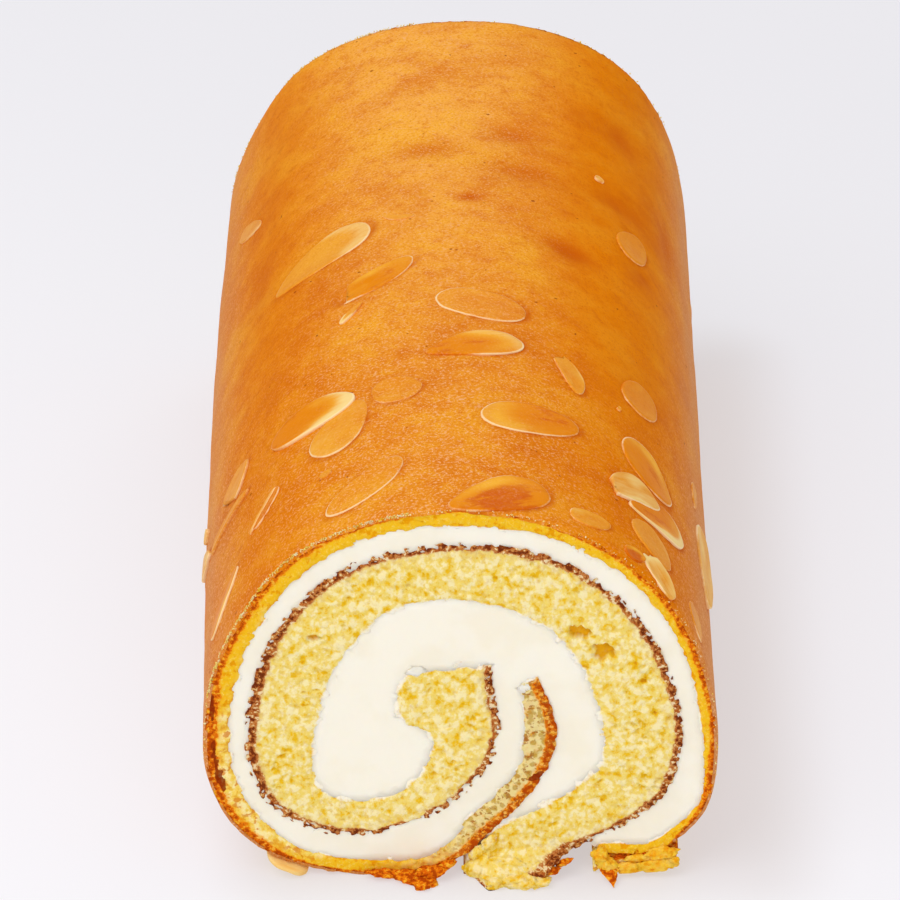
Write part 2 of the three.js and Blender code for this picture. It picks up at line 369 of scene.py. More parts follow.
    def blend(self, share: object, first: object, second: object) -> Socket:
        """Two colours mixed by a share."""
        mixed = self.node("ShaderNodeMix", data_type="RGBA")
        self.feed(mixed.inputs[0], share)
        self.feed(mixed.inputs[6], first)
        self.feed(mixed.inputs[7], second)
        return mixed.outputs[2]

    def relief(self, height: Socket, depth: float, under: object = None) -> Socket:
        """A bumped normal.

        Args:
            height: The relief, from 0 to 1.
            depth: How deep it is, in millimetres.
            under: A coarser relief that it lies on.

        Returns:
            The normal, for the shader or for a finer relief.
        """
        inputs: dict[str | int, object] = {"Height": height, "Distance": depth * MM, "Strength": 1.0}
        if under is not None:
            inputs["Normal"] = under
        return self.node("ShaderNodeBump", inputs).outputs[0]


@dataclass(frozen=True)
class SkinFinish:
    """The baked side of the wrap: a fine-grained orange-tan skin, glazed beside the flakes.

    The colours crown, rich and blush are painted light: a sheen along the top that is
    stronger towards the far end, the fuller orange of the shoulders where the least light is reflected, and a
    pinkish reflection low on the flanks. Light and rust are its clouds, pale its chalky grains, and
    glaze the dark line round a flake: glaze, with a painted shadow on one side.

    Attributes:
        patterns: For the clouds and for the mottle: where the dark sets in and is full, and how strong it is,
            and the same for the light.
        chalk: How strong the pale grains are, how much stronger towards the near cut, and how much weaker
        where rich paints the skin its fuller orange.
        near: The places along the roll, in metres, between which the grains grow stronger.
    """

    tan: Colour = tint("E2820C")
    # painted highlight: the sheen along the top, stronger towards the far end
    crown: Colour = tint("F6AC44")
    # painted light: the fuller orange where the skin reflects the least light
    rich: Colour = tint("E47F02")
    light: Colour = tint("F8B22C")
    pale: Colour = tint("F4B682")
    rust: Colour = tint("D06206")
    # painted reflection: the pinkish sheen low on the flanks
    blush: Colour = tint("DA945A")
    # glaze: glaze round a flake, darker on one side as a painted shadow
    glaze: Colour = tint("C45404")
    speck: Colour = tint("8E3004")
    patterns: tuple[tuple[Triple, Triple], ...] = (
        ((0.48, 0.7, 0.45), (0.52, 0.3, 0.5)),
        ((0.5, 0.72, 0.46), (0.5, 0.28, 0.42)),
    )
    chalk: Triple = (0.62, 0.38, 0.75)
    near: Pair = (0.0, -0.07)
    roughness: float = 0.5

    def colour(self, s: Shader) -> tuple[Socket, Socket]:
        """Wires the skin's colour.

        Args:
            s: The material, on a piece with the masks crown, rich, scorch and blush.

        Returns:
            The colour, and the fine grain that it shares with the relief.
        """
        here = s.here()
        clouds = s.noise(here, (17, 15, 17), 3, 0.6)
        mottle = s.noise(here, (3.6, 3.2, 3.6), 4, 0.7)
        dots = s.noise(here, (0.5, 0.5, 0.5), 2, 0.7)
        # crown, rich and blush paint the skin's sheen into its colour
        rich = s.mask("rich")
        base = s.blend(s.mask("crown"), self.tan, self.crown)
        base = s.blend(rich, base, self.rich)
        plain = s.sum("SUBTRACT", 1.0, s.free("MULTIPLY", rich, 0.6))
        for pattern, (dark, light) in zip((clouds, mottle), self.patterns):
            base = s.blend(s.part(pattern, *dark), base, self.rust)
            base = s.blend(s.both(s.part(pattern, *light), plain), base, self.light)
        # painted reflection: the pinkish sheen low on the flanks
        base = s.blend(s.mask("blush"), base, self.blush)
        base = s.blend(s.mask("scorch"), base, self.rust)
        base = s.blend(s.part(dots, 0.5, 0.72, 0.5), base, self.rust)
        always, nearer, less = self.chalk
        along = s.node("ShaderNodeSeparateXYZ", {0: here}).outputs["Y"]
        more = s.free("MULTIPLY", s.ramp(along, *self.near), nearer)
        chalk = s.sum("SUBTRACT", s.free("ADD", more, always), s.free("MULTIPLY", rich, less))
        return s.blend(s.both(s.ramp(dots, 0.5, 0.28), chalk), base, self.pale), dots

    def material(self) -> Material:
        """Makes the finish, which also reads glaze: glaze round a flake, with a painted shadow on one side.
        """
        s = Shader("browned_skin")
        base, dots = self.colour(s)
        # glaze round each flake, with a painted shadow on one side
        base = s.blend(s.mask("glaze"), base, self.glaze)
        specks = s.noise(s.here(), (1.5, 1.5, 1.5), 1, 0.4)
        base = s.blend(s.part(specks, 0.77, 0.82, 0.7), base, self.speck)
        s.set(Base_Color=base, Roughness=self.roughness, Specular_IOR_Level=0.005)
        s.set(Normal=s.relief(dots, 0.14))
        return s.material


@dataclass(frozen=True)
class CrumbPatterns:
    """The patterns that every layer of a crumb finish is cut from, each with values from 0 to about 1.

    Attributes:
        lumps: Distance from the middles of the crumb's lumps.
        blotch: Where lumps crowd together.
        fine: The finest grain.
        grit: A coarser grain.
        spots: Where single spots fall.
        patch: Large ragged patches.
        holes: Large pores.
    """

    lumps: Socket
    blotch: Socket
    fine: Socket
    grit: Socket
    spots: Socket
    patch: Socket
    holes: Socket

    @classmethod
    def of(cls, s: Shader) -> CrumbPatterns:
        """Wires the patterns into a material."""
        here = s.here()
        return cls(
            lumps=s.bubbles(here, (1.2, 1.2, 1.3), warp=0.9),
            blotch=s.noise(here, (1.7, 1.7, 2.1), 3, 0.6, warp=0.8),
            fine=s.noise(here, (0.5, 0.5, 0.55), 3, 0.7),
            grit=s.noise(here, (0.95, 0.95, 1.0), 3, 0.65),
            spots=s.noise(here, (0.95, 0.95, 0.85), 2, 0.6),
            patch=s.noise(here, (1.9, 1.9, 1.7), 4, 0.7),
            holes=s.noise(here, (1.5, 1.5, 1.3), 2, 0.55, warp=0.6),
        )


@dataclass(frozen=True)
class CrumbFinish:
    """A cut sponge: granular pale crumb, deeper yellow pores, and a browned band along the skin.

    Attributes:
        wall: The colour of the crumb's lumps.
        shade: Their colour in between.
        pore: The colour of the pores.
        deep: The colour of the deepest pores.
        hole: The painted shade down in a cavity.
        egg: The yellow of dense, eggy places.
        yolk: The pores there.
        dull: The crumb of the strip.
        moss: The pores there.
        bran: The brown specks of the strip.
        crust: The colour of the browned band.
        tawny: Its lighter stretches.
        toast: Its lighter grains.
        halo: The crumb that it fades into.
        tan: The dull crumb further in.
        char: The darkest spots of the band.
        burnt: The painted shade in a slit.
        fleck: The pale crumbs on the band.
        cream: The cream smeared over its edges.
        ring: The browned walls of large pores.
        rings: How strong those walls are.
    """

    name: str
    wall: Colour = tint("F6E6AC")
    shade: Colour = tint("EFD36A")
    pore: Colour = tint("E9B91C")
    deep: Colour = tint("D59212")
    # painted shade: the darker orange down in a cavity
    hole: Colour = tint("DC8E08")
    egg: Colour = tint("F0BC1E")
    yolk: Colour = tint("E69C06")
    dull: Colour = tint("E6D69A")
    moss: Colour = tint("BA9644")
    bran: Colour = tint("985A24")
    crust: Colour = tint("A4501E")
    tawny: Colour = tint("BC6C2C")
    toast: Colour = tint("CC8A4C")
    halo: Colour = tint("D2A45C")
    tan: Colour = tint("E6D092")
    char: Colour = tint("6A260C")
    # painted shade: the dark inside a slit, which the mesh does not open
    burnt: Colour = tint("8A2A06")
    fleck: Colour = tint("F6E6CC")
    cream: Colour = tint("F8F0DC")
    ring: Colour = tint("B86A1C")
    rings: float = 0.0
    roughness: float = 0.8

    def material(self) -> Material:
        """Makes the finish, layer by layer, from the masks that each layer names."""
        s = Shader(self.name)
        p = CrumbPatterns.of(s)
        base = self.crumb(s, p)
        base = self.strip(s, p, base)
        # painted shade: the deeper a place lies in a cavity, the darker orange it is
        base = s.blend(s.mask("cavity"), base, s.blend(p.fine, self.hole, self.pore))
        base = s.blend(s.ramp(s.stirred(s.mask("creamed"), p.patch, 1.6), 0.35, 0.85), base, self.cream)
        base = self.band(s, p, base)
        # painted shade in the slits of the near cut
        base = s.blend(s.part(s.stirred(s.mask("burnt"), p.grit, 0.8), 0.35, 0.6, 0.9), base, self.burnt)
        relief = s.relief(p.fine, 0.1, s.relief(s.sum("SUBTRACT", 1.0, p.lumps), 0.14))
        s.set(Base_Color=base, Roughness=self.roughness, Specular_IOR_Level=0.03, Normal=relief)
        s.set(Subsurface_Weight=0.25, Subsurface_Radius=(1.0, 0.8, 0.4), Subsurface_Scale=0.0008)
        return s.material

    def crumb(self, s: Shader, p: CrumbPatterns) -> Socket:
        """The open crumb, from the masks hollow, tanned and eggy.

        Args:
            s: The material.
            p: Its patterns.

        Returns:
            The colour.
        """
        # painted shade: the mask hollow, how deep the crumb lies behind the cut, pushes deeper pits to pore
        # colours
        level = s.total((p.lumps, 0.28), (p.blotch, 1.15), (p.fine, 0.35), (s.mask("hollow"), 0.16))
        to_pore = s.ramp(level, 0.98, 1.1)
        base = s.blend(s.ramp(level, 0.76, 0.96), self.wall, self.shade)
        base = s.blend(s.ramp(level, 1.13, 1.28), s.blend(to_pore, base, self.pore), self.deep)
        base = s.blend(s.both(s.mask("tanned"), s.ramp(p.grit, 0.35, 0.6)), base, self.tan)
        egg = s.blend(s.ramp(p.fine, 0.48, 0.72), self.egg, self.shade)
        base = s.blend(s.mask("eggy"), base, s.blend(to_pore, egg, self.yolk))
        walls = s.both(s.ramp(p.holes, 0.54, 0.62), s.sum("SUBTRACT", 1.0, s.mask("eggy")))
        return s.blend(s.both(walls, self.rings), base, self.ring)

    def strip(self, s: Shader, p: CrumbPatterns, base: Socket) -> Socket:
        """The duller crumb of the strip, laid over the base where the mask dull says.

        Args:
            s: The material.
            p: Its patterns.
            base: The colour so far.

        Returns:
            The colour with the strip on it.
        """
        cell = s.ramp(s.free("ADD", p.lumps, s.free("MULTIPLY", p.fine, 0.3)), 0.7, 0.5)
        speckled = s.blend(s.ramp(p.spots, 0.54, 0.64), s.blend(cell, self.dull, self.moss), self.bran)
        return s.blend(s.mask("dull"), base, speckled)

    def band(self, s: Shader, p: CrumbPatterns, base: Socket) -> Socket:
        """The browned band, laid over the base with a ragged edge where the mask browned says.

        Args:
            s: The material, which also has the mask dull.
            p: Its patterns.
            base: The colour so far.

        Returns:
            The colour with the band on it.
        """
        ragged = s.stirred(s.mask("browned"), p.grit, 1.3)
        base = s.blend(s.part(ragged, 0.0, 0.5, 0.7), base, self.halo)
        brown = s.both(s.ramp(ragged, 0.32, 0.56), s.ramp(p.spots, 0.37, 0.45))
        crust = s.blend(s.mask("dull"), self.crust, self.bran)
        crust = s.blend(s.ramp(p.patch, 0.4, 0.62), crust, self.tawny)
        base = s.blend(brown, base, s.blend(s.ramp(p.fine, 0.45, 0.65), crust, self.toast))
        dark = s.both(s.ramp(ragged, 0.6, 0.85), s.ramp(p.spots, 0.5, 0.57))
        base = s.blend(s.both(dark, 0.92), base, self.char)
        flecks = s.both(s.part(ragged, 0.2, 0.45, 0.5), s.ramp(p.spots, 0.41, 0.34))
        return s.blend(flecks, base, self.fleck)


@dataclass(frozen=True)
class CreamFinish:
    """Whipped cream: a warm white with slightly deeper clouds, smooth and barely shining."""

    white: Colour = tint("F8F1E0")
    warm: Colour = tint("F5EDD8")
    roughness: float = 0.5

    def material(self) -> Material:
        """Makes the finish."""
        s = Shader("whipped_cream")
        here = s.here()
        clouds = s.noise(here, (9, 9, 9), 3, 0.5)
        fine = s.noise(here, (1.4, 1.4, 1.4), 3, 0.6)
        base = s.blend(s.ramp(clouds, 0.4, 0.65), self.white, self.warm)
        s.set(Base_Color=base, Roughness=self.roughness, Specular_IOR_Level=0.3, Normal=s.relief(fine, 0.06))
        s.set(Subsurface_Weight=0.4, Subsurface_Radius=(1.0, 0.85, 0.6), Subsurface_Scale=0.002)
        return s.material


@dataclass(frozen=True)
class AlmondFinish:
    """A glazed almond flake: the skin shows through it, amber in the middle, with a thin light rim.

    Straw, amber and deep are the flesh under more and more glazing, painted deeper on the side away from the
    light as shade. Gold is painted light shining through it on the lit side. Pale is dry flesh, with a
    painted highlight on the lit side, and the rim is the flake's pale edge, painted brighter on the lit side.
    """

    straw: Colour = tint("EEA838")
    amber: Colour = tint("E68604")
    deep: Colour = tint("CE5600")
    # painted light shining through the flake on its lit side
    gold: Colour = tint("FABE3C")
    pale: Colour = tint("F8DA90")
    rim: Colour = tint("FBDFAE")
    roughness: float = 0.32

    def material(self) -> Material:
        """Makes the finish, which reads the skin's masks and amber, glow, pale, rim and body."""
        s = Shader("glazed_almond")
        flat = s.flat()
        under, _ = SkinFinish().colour(s)
        streaks = s.noise(flat, (5, 0.6, 400), 3, 0.6)
        clouds = s.noise(flat, (3.5, 2.0, 400), 3, 0.6)
        fine = s.noise(s.here(), (0.6, 0.6, 0.6), 3, 0.6)
        amount = s.stirred(s.stirred(s.mask("amber"), clouds, 0.8), streaks, 0.5)
        flesh = s.blend(s.ramp(amount, 0.0, 0.8), self.straw, self.amber)
        flesh = s.blend(s.ramp(amount, 0.85, 1.2), flesh, self.deep)
        # painted light: gold where light shines through the flake on its lit side
        flesh = s.blend(s.both(s.mask("glow"), 0.85), flesh, self.gold)
        cover = s.sum("MAXIMUM", s.stirred(s.mask("body"), fine, 0.5), 0.0)
        base = s.blend(cover, under, flesh)
        # pale: dry flesh, and a painted highlight on the lit side
        base = s.blend(s.part(s.stirred(s.mask("pale"), streaks, 0.5), 0.2, 1.0, 0.9), base, self.pale)
        # rim: the flake's pale edge, painted brighter on the lit side
        base = s.blend(s.part(s.stirred(s.mask("rim"), fine, 0.7), 0.2, 0.9, 0.8), base, self.rim)
        s.set(Base_Color=base, Roughness=self.roughness, Specular_IOR_Level=0.015)
        s.set(Normal=s.relief(fine, 0.05))
        return s.material


@dataclass(frozen=True)
class FloorFinish:
    """A matt, very pale grey floor with a glow of its own, which fades to the back, the right and the cake.

    Attributes:
        cake: Half the width and half the length of the painted shadow under the cake, in metres.
        aside: How far to the right of the middle that painted shadow lies, in metres.
        reach: How far out from there it fades, in metres.
    """

    grey: Colour = tint("939295")
    glow: Colour = tint("FBFAFE")
    # painted shade: the glow darkens towards the back and the right, as light falls off there
    fade: Colour = tint("E6E5E9")
    # painted shadow: the glow's colour round the cake, where its shadow falls
    near: Colour = tint("D6CFCC")
    strength: float = 0.68
    cake: Pair = (0.040, 0.086)
    aside: float = 0.012
    reach: float = 0.02
    # how strong the painted shadow round the cake is
    shading: float = 0.6

    def material(self) -> Material:
        """Makes the finish."""
        s = Shader("pale_floor")
        place = s.node("ShaderNodeSeparateXYZ", {0: s.here()})
        x, y = place.outputs["X"], place.outputs["Y"]
        away = s.free("ADD", y, s.free("MULTIPLY", x, 0.7))
        # painted light falloff towards the back and the right
        glow = s.blend(s.ramp(away, -0.25, 0.3), self.glow, self.fade)
        half_width, half_length = self.cake
        beside = s.sum("SUBTRACT", s.free("ABSOLUTE", s.free("SUBTRACT", x, self.aside), 0), half_width)
        before = s.sum("SUBTRACT", s.free("ABSOLUTE", y, 0), half_length)
        apart = s.free("SQRT", s.free("ADD", s.free("POWER", beside, 2), s.free("POWER", before, 2)), 0)
        # painted shadow round the cake
        shadow = s.part(apart, self.reach, 0.0, self.shading)
        s.set(Base_Color=self.grey, Roughness=0.9, Specular_IOR_Level=0.1)
        s.set(Emission_Color=s.blend(shadow, glow, self.near), Emission_Strength=self.strength)
        return s.material


# ---------------- the roll's overall form


@dataclass(frozen=True)
class RollForm:
    """The size of the roll and how it settled when it was rolled by hand. Lengths are in millimetres.

    Attributes:
        length: From cut face to cut face.
        hub: The x and z that clock angles are told from.
        side_swell: How far the left flank bellies out at mid-length.
        shoulder_rise: How much fuller the right shoulder is at the far cut face.
        shoulder_clock: Degrees clockwise from the top to the middle of that shoulder.
        shoulder_spread: Degrees from its middle to where it fades out.
        rim: Distance from the hub at which the shoulder rises in full.
        half_width: Where the left flank bellies out in full.
        offset: From the middle of the section and the length to the middle of the model's box, x and y.
        wide_wave: How proud the slow wave of the knife's cut is, and its size across.
        fine_wave: The same for the quick one.
    """

    length: float = 176.0
    hub: Pair = (0.0, 36.0)
    side_swell: float = 1.2
    shoulder_rise: float = 2.4
    shoulder_clock: float = 46.0
    shoulder_spread: float = 52.0
    rim: float = 42.0
    half_width: float = 45.0
    offset: Pair = (0.589, 0.6)
    wide_wave: Pair = (0.16, 14.0)
    fine_wave: Pair = (0.06, 4.0)

    def settle(self, points: Array) -> Array:
        """Moves points of the straight roll to where they are in the real one.

        Args:
            points: Rows of x, y and z in millimetres, with y from the middle of the roll.

        Returns:
            The same points in the model's frame, in metres.
        """
        spoke_x, spoke_z = points[:, 0] - self.hub[0], points[:, 2] - self.hub[1]
        reach = np.hypot(spoke_x, spoke_z)
        clock = np.degrees(np.arctan2(spoke_x, spoke_z))
        along = np.clip(points[:, 1] / self.length + 0.5, 0, 1)
        belly = self.side_swell * smooth(-points[:, 0], 0, self.half_width) * np.sin(np.pi * along)
        shoulder = 1 - smooth(np.abs(clock - self.shoulder_clock), 0, self.shoulder_spread)
        rise = self.shoulder_rise * shoulder * along**2 * (reach / self.rim) ** 2
        grow = (reach + rise) / np.maximum(reach, 1e-6)
        x = self.hub[0] + spoke_x * grow - belly + self.offset[0]
        z = np.maximum(self.hub[1] + spoke_z * grow, 0)
        return stack(x, points[:, 1] + self.offset[1], z) * MM

    def knife_wave(self, section: Array, side: Array) -> Array:
        """How far the knife left the cream proud of its mean plane, in millimetres.

        Args:
            section: Places x and z on a cut face, in millimetres.
            side: -1 for the near cut face and 1 for the far one.

        Returns:
            Millimetres, one for each place.
        """
        spot = stack(section, FACES_APART * side)
        (wide, wide_size), (fine, fine_size) = self.wide_wave, self.fine_wave
        slow = wide * grain(spot, (wide_size, wide_size, 6), 70.0, 2)
        return slow + fine * grain(spot, (fine_size, fine_size, 2), 71.0, 2)


@dataclass(frozen=True)
class Guide:
    """The browned side of a rolled sheet, clockwise from its inner end to its outer end.

    Attributes:
        rows: The places x, z that it passes and the depth of crumb there, in millimetres.
        least_step: The least step of the crumb side, in millimetres: where it is wound tighter than this, its
            points are left out.
    """

    rows: tuple[Triple, ...]
    least_step: float = 0.12

    def dense(self, spans: int = 40) -> Array:
        """Close points of a smooth curve through the rows."""
        p = np.array(self.rows, float)
        p = np.vstack([2 * p[0] - p[1], p, 2 * p[-1] - p[-2]])
        t = np.linspace(0, 1, spans, endpoint=False)[:, None]
        parts = []
        for a, b, c, d in zip(p, p[1:], p[2:], p[3:]):
            k0, k1, k2 = (float(np.linalg.norm(q - r)) ** 0.5 for q, r in ((a, b), (b, c), (c, d)))
            m1 = ((b - a) / k0 - (c - a) / (k0 + k1) + (c - b) / k1) * k1
            m2 = ((c - b) / k1 - (d - b) / (k1 + k2) + (d - c) / k2) * k1
            parts.append(b + m1 * t + (3 * (c - b) - 2 * m1 - m2) * t**2 + (2 * (b - c) + m1 + m2) * t**3)
        return np.vstack([*parts, p[-2]])

    def stations(self) -> tuple[Array, Array, Array, Array, Array]:
        """Distance along, place, forward direction, inward direction and depth at the dense points."""
        dense = self.dense()
        place, depth = dense[:, :2], dense[:, 2]
        steps = np.hypot(*np.diff(place, axis=0).T)
        along = np.concatenate([[0], np.cumsum(steps)])
        forward = np.gradient(place, axis=0)
        forward /= np.linalg.norm(forward, axis=1)[:, None]
        inward = stack(forward[:, 1], -forward[:, 0])
        return along, place, forward, inward, depth

    def length(self) -> float:
        """How long the sheet is, in millimetres."""
        return float(self.stations()[0][-1])

    def walls(self, share: Array, grow: float) -> tuple[Array, Array]:
        """The two sides of the sheet.

        Args:
            share: Shares of its length, from 0 to 1.
            grow: How far the crumb side is moved out into the cream, in millimetres.

        Returns:
            The places of the browned side and of the crumb side at each share.
        """
        along, place, forward, inward, depth = self.stations()
        crumb = place + inward * (depth + grow)[:, None]
        kept = [0]
        for i in range(1, len(crumb)):
            if float((crumb[i] - crumb[kept[-1]]) @ forward[i]) > self.least_step:
                kept.append(i)
        kept = np.array(kept)
        at = share * along[-1]
        browned = stack(*[np.interp(at, along, place[:, k]) for k in (0, 1)])
        behind = stack(*[np.interp(at, along[kept], crumb[kept, k]) for k in (0, 1)])
        return browned, behind


WRAP_GUIDE = Guide(
    (
        (13.2, 41.2, 3.3), (15.2, 36.3, 4.9), (16.5, 30, 6), (14.6, 22, 5),
        (10.6, 15.6, 4.8), (5, 9.2, 4.8), (-0.5, 3.2, 4.2), (-7, 0.2, 3.6),
        (-17, -0.2, 3.8), (-27, 1.6, 3.6), (-35, 5.4, 4.9), (-41, 12, 5.4),
        (-44.4, 21, 5.2), (-44.8, 31, 4.9), (-43.1, 42.5, 4.9), (-38.4, 54, 4.4),
        (-30, 66, 4.6), (-16, 73.8, 3.7), (0, 76.2, 3.7), (15, 73.6, 3.5),
        (28.5, 66, 3.3), (37.6, 55.2, 3.3), (43, 41.5, 3.1), (44.9, 27.5, 3),
        (43.5, 14.6, 2.2), (39.8, 8.8, 2.7), (34.4, 4.4, 2.9), (29, 3.9, 2.9),
        (24, 4.4, 2.1),
    )
)

SPONGE_GUIDE = Guide(
    (
        (5, 44.6, 13.5), (5.5, 38.5, 17.6), (6.7, 31, 13.6), (4.6, 23, 11.4),
        (-3, 14, 8.6), (-13, 9.4, 7.6), (-24, 9.2, 8.4), (-32.6, 14, 10.3),
        (-37, 24, 12.1), (-36.9, 34.5, 12.9), (-34, 46.2, 13.2), (-28, 57, 13.3),
        (-17, 65.6, 12), (-4, 68.8, 12), (8, 68.4, 13), (20, 63.9, 13.4),
        (30, 54.6, 14), (36.4, 41.6, 14.4), (38.4, 28, 14.2), (35.4, 17, 13.2),
        (28.6, 10.6, 12.4), (20.4, 5.8, 11.2), (13, 1.4, 11.4), (6, -0.6, 9.4),
        (0.6, 0.2, 3.4),
    )
)

FLAP_GUIDE = Guide(((24.2, 4.1, 2.6), (28, 3.9, 3.0), (33, 4.3, 3.4), (36.4, 4.9, 2.9), (38.2, 4.6, 1.2)))


@dataclass
class BakedSide:
    """The browned side of the wrap as a surface to lay things on, found by clock angle round the roll.

    Attributes:
        first_share: The share of the wrap's length where the surface starts. It ends at last_share.
        along: Millimetres along the wrap at each sample.
        place: The x and z of each sample.
        outward: The direction out of the skin there.
        clock: Degrees clockwise from the top there, which never fall.
    """

    form: RollForm
    first_share: float = 0.15
    last_share: float = 0.97
    along: Array = field(init=False)
    place: Array = field(init=False)
    outward: Array = field(init=False)
    clock: Array = field(init=False)

    def __post_init__(self) -> None:
        """Samples the surface once."""
        along, place, _, inward, _ = WRAP_GUIDE.stations()
        span = (along >= self.first_share * along[-1]) & (along <= self.last_share * along[-1])
        self.along, self.place, self.outward = along[span], place[span], -inward[span]
        spoke = self.place - np.array(self.form.hub)
        clock = np.degrees(np.arctan2(spoke[:, 0], spoke[:, 1]))
        under = (clock > 90) & (self.along < self.along.mean())
        self.clock = np.maximum.accumulate(np.where(under, -180, clock))

    def distance(self, clock: float) -> float:
        """Millimetres along the wrap to a clock angle in degrees."""
        return float(np.interp(clock, self.clock, self.along))

    def point(self, along: Array, height: Array) -> tuple[Array, Array]:
        """The x and z of points over the skin.

        Args:
            along: Millimetres along the wrap.
            height: Millimetres above the skin.

        Returns:
            Their x and their z, before the roll is settled.
        """
        x, z = (np.interp(along, self.along, self.place[:, k]) for k in (0, 1))
        out_x, out_z = (np.interp(along, self.along, self.outward[:, k]) for k in (0, 1))
        return x + out_x * height, z + out_z * height


# ---------------- almond flakes


LAYER_LIFT = 0.45  # how far a flake of the next layer lies above the one under it, in millimetres


class FlakeKind(Enum):
    """How a flake took the glazing: how amber, how light its rim, how much it hides the skin, and how dry."""

    BARE = (0.0, 0.9, 0.08, 0.0)
    CLEAR = (0.0, 0.55, 0.6, 0.0)
    FAINT = (0.4, 0.5, 0.4, 0.0)
    AMBER = (0.85, 1.0, 0.9, 0.0)
    DEEP = (1.15, 0.6, 0.95, 0.0)
    GOLD = (0.3, 0.8, 0.75, 0.25)
    PALE = (0.0, 1.1, 0.9, 0.5)
    WASHED = (0.45, 1.1, 0.3, 0.0)


BARE, CLEAR, FAINT, AMBER, DEEP, GOLD, PALE, WASHED = FlakeKind


@dataclass(frozen=True)
class AlmondFlake:
    """One flake, its place on the skin, and its look. Lengths are in millimetres.

    Attributes:
        clock: Degrees clockwise from the top of the roll.
        back: Distance of its middle from the near cut face.
        long: Length.
        wide: Greatest width.
        turn: Degrees from the roll's axis to its narrow end, towards clockwise.
        kind: How it took the glaze.
        layer: 1 where it lies on another flake.
        bright: The direction from which it is painted as lit, in degrees as for turn: its rim, pale band,
            pale end and gold are painted lighter on that side, and its amber deeper away from it.
        patch: How far that side's end is pale right across, painted as a highlight.
        band: How far in the pale rim reaches on that side, as a share of the way to the middle, widened there
            as a painted highlight.
        broken: The share of its length missing at the blunt end.
        lift: How far it stands off the skin.
        tip_lift: How far its narrow end stands up.
        side_lift: How far its left side stands up, seen towards the narrow end, or its right one if negative.
        bend: How far its ends are bent to the right, seen towards the narrow end.
        point: How much narrower one end is than the other.
        thick: How thick it is.
        sunk: How deep it is baked into the skin.
        cut_back: How near to the cut face the knife left it.
    """

    clock: float
    back: float
    long: float
    wide: float
    turn: float
    kind: FlakeKind = FlakeKind.GOLD
    layer: int = 0
    # the direction from which the flake is painted as lit
    bright: float = 0.0
    patch: float = 0.0
    band: float = 0.0
    broken: float = 0.0
    lift: float = 0.0
    tip_lift: float = 0.0
    side_lift: float = 0.0
    bend: float = 0.0
    point: float = 0.3
    thick: float = 0.5
    sunk: float = 0.2
    cut_back: float = 0.15

    def span(self, side: BakedSide) -> float:
        """Millimetres along the wrap to the flake's middle."""
        return side.distance(self.clock)

    def rim_share(self, round_mm: Array, away_mm: Array) -> Array:
        """How far out a place is on the flake: 0 in its middle, 1 on its rim.

        Args:
            round_mm: Distance from its middle round the roll.
            away_mm: Distance from its middle along the roll.

        Returns:
            The share, one for each place.
        """
        heading = math.radians(self.turn)
        u = round_mm * math.sin(heading) + away_mm * math.cos(heading)
        v = round_mm * math.cos(heading) - away_mm * math.sin(heading)
        c = u / (self.long / 2)
        s = v / (self.wide / 2 * np.maximum(1 - self.point * np.clip(c, -1, 1), 0.3))
        return np.hypot(c, s)

    def build(self, name: str, skin: BrownedSkin, number: int) -> Piece:
        """Models the flake from a flattened ball and lays it on the skin.

        Args:
            name: What the piece is called.
            skin: The skin.
            number: Its number, which also seeds its unevenness.

        Returns:
            The piece, without its finish.
        """
        clear_selection()
        bpy.ops.mesh.primitive_uv_sphere_add(segments=48, ring_count=28, radius=1)
        obj = newest(name)
        if self.broken:
            self.snap(obj, number)
        ball = places(obj)
        c, s = ball[:, 0], ball[:, 1]
        if self.broken:
            jag = 0.16 * grain(stack(s, s, s), 0.35, 1.3 * number, 2)
            c = c + np.where(c < c.min() + 0.5 * abs(self.lean(number)) + 0.02, jag, 0)
        share = np.clip(np.hypot(c, s), 0, 1)
        top = ball[:, 2] >= 0
        seed = 3.7 * number
        wave = grain(stack(c, s, np.zeros_like(c)), 0.8, seed, 2)
        edge = 1 + 0.05 * wave * share
        u = self.long / 2 * c * edge
        v = self.wide / 2 * s * (1 - self.point * c) * edge + self.bend * (c**2 - 0.4)
        wall = np.sqrt(np.clip(1 - share**7, 0, 1))
        lip = 0.09 * bump(share, 0.9, 0.07)
        dish = -0.1 * (1 - share**2)
        upper = self.thick * (0.55 + 0.45 * wall) + (lip + dish) * wall + 0.05 * wave
        upper += self.lift + self.layer * LAYER_LIFT + self.tip_lift * smooth(c, -0.6, 1)
        upper += abs(self.side_lift) * smooth(-math.copysign(1, self.side_lift) * s, -0.6, 1)
        heading = math.radians(self.turn)
        round_mm = u * math.sin(heading) + v * math.cos(heading)
        away_mm = u * math.cos(heading) - v * math.sin(heading)
        side, along = skin.side, self.span(skin.side) + round_mm
        y = np.maximum(self.back + away_mm, self.cut_back) - side.form.length / 2
        height = np.where(top, upper, -0.1) - self.sunk + skin.waves(along, y)
        x, z = side.point(along, height)
        put_places(obj, side.form.settle(stack(x, y, z)))
        with edit_mode():
            bpy.ops.mesh.normals_make_consistent(inside=False)
        put_flat_map(obj, (u + 40 * number) * MM, v * MM)
        skin.mark(obj, along, y)
        self.mark(obj, share, np.arctan2(round_mm, away_mm), wave)
        return obj

    def lean(self, number: int) -> float:
        """How far askew the break of a flake is."""
        return 0.3 * math.sin(5.1 * number)

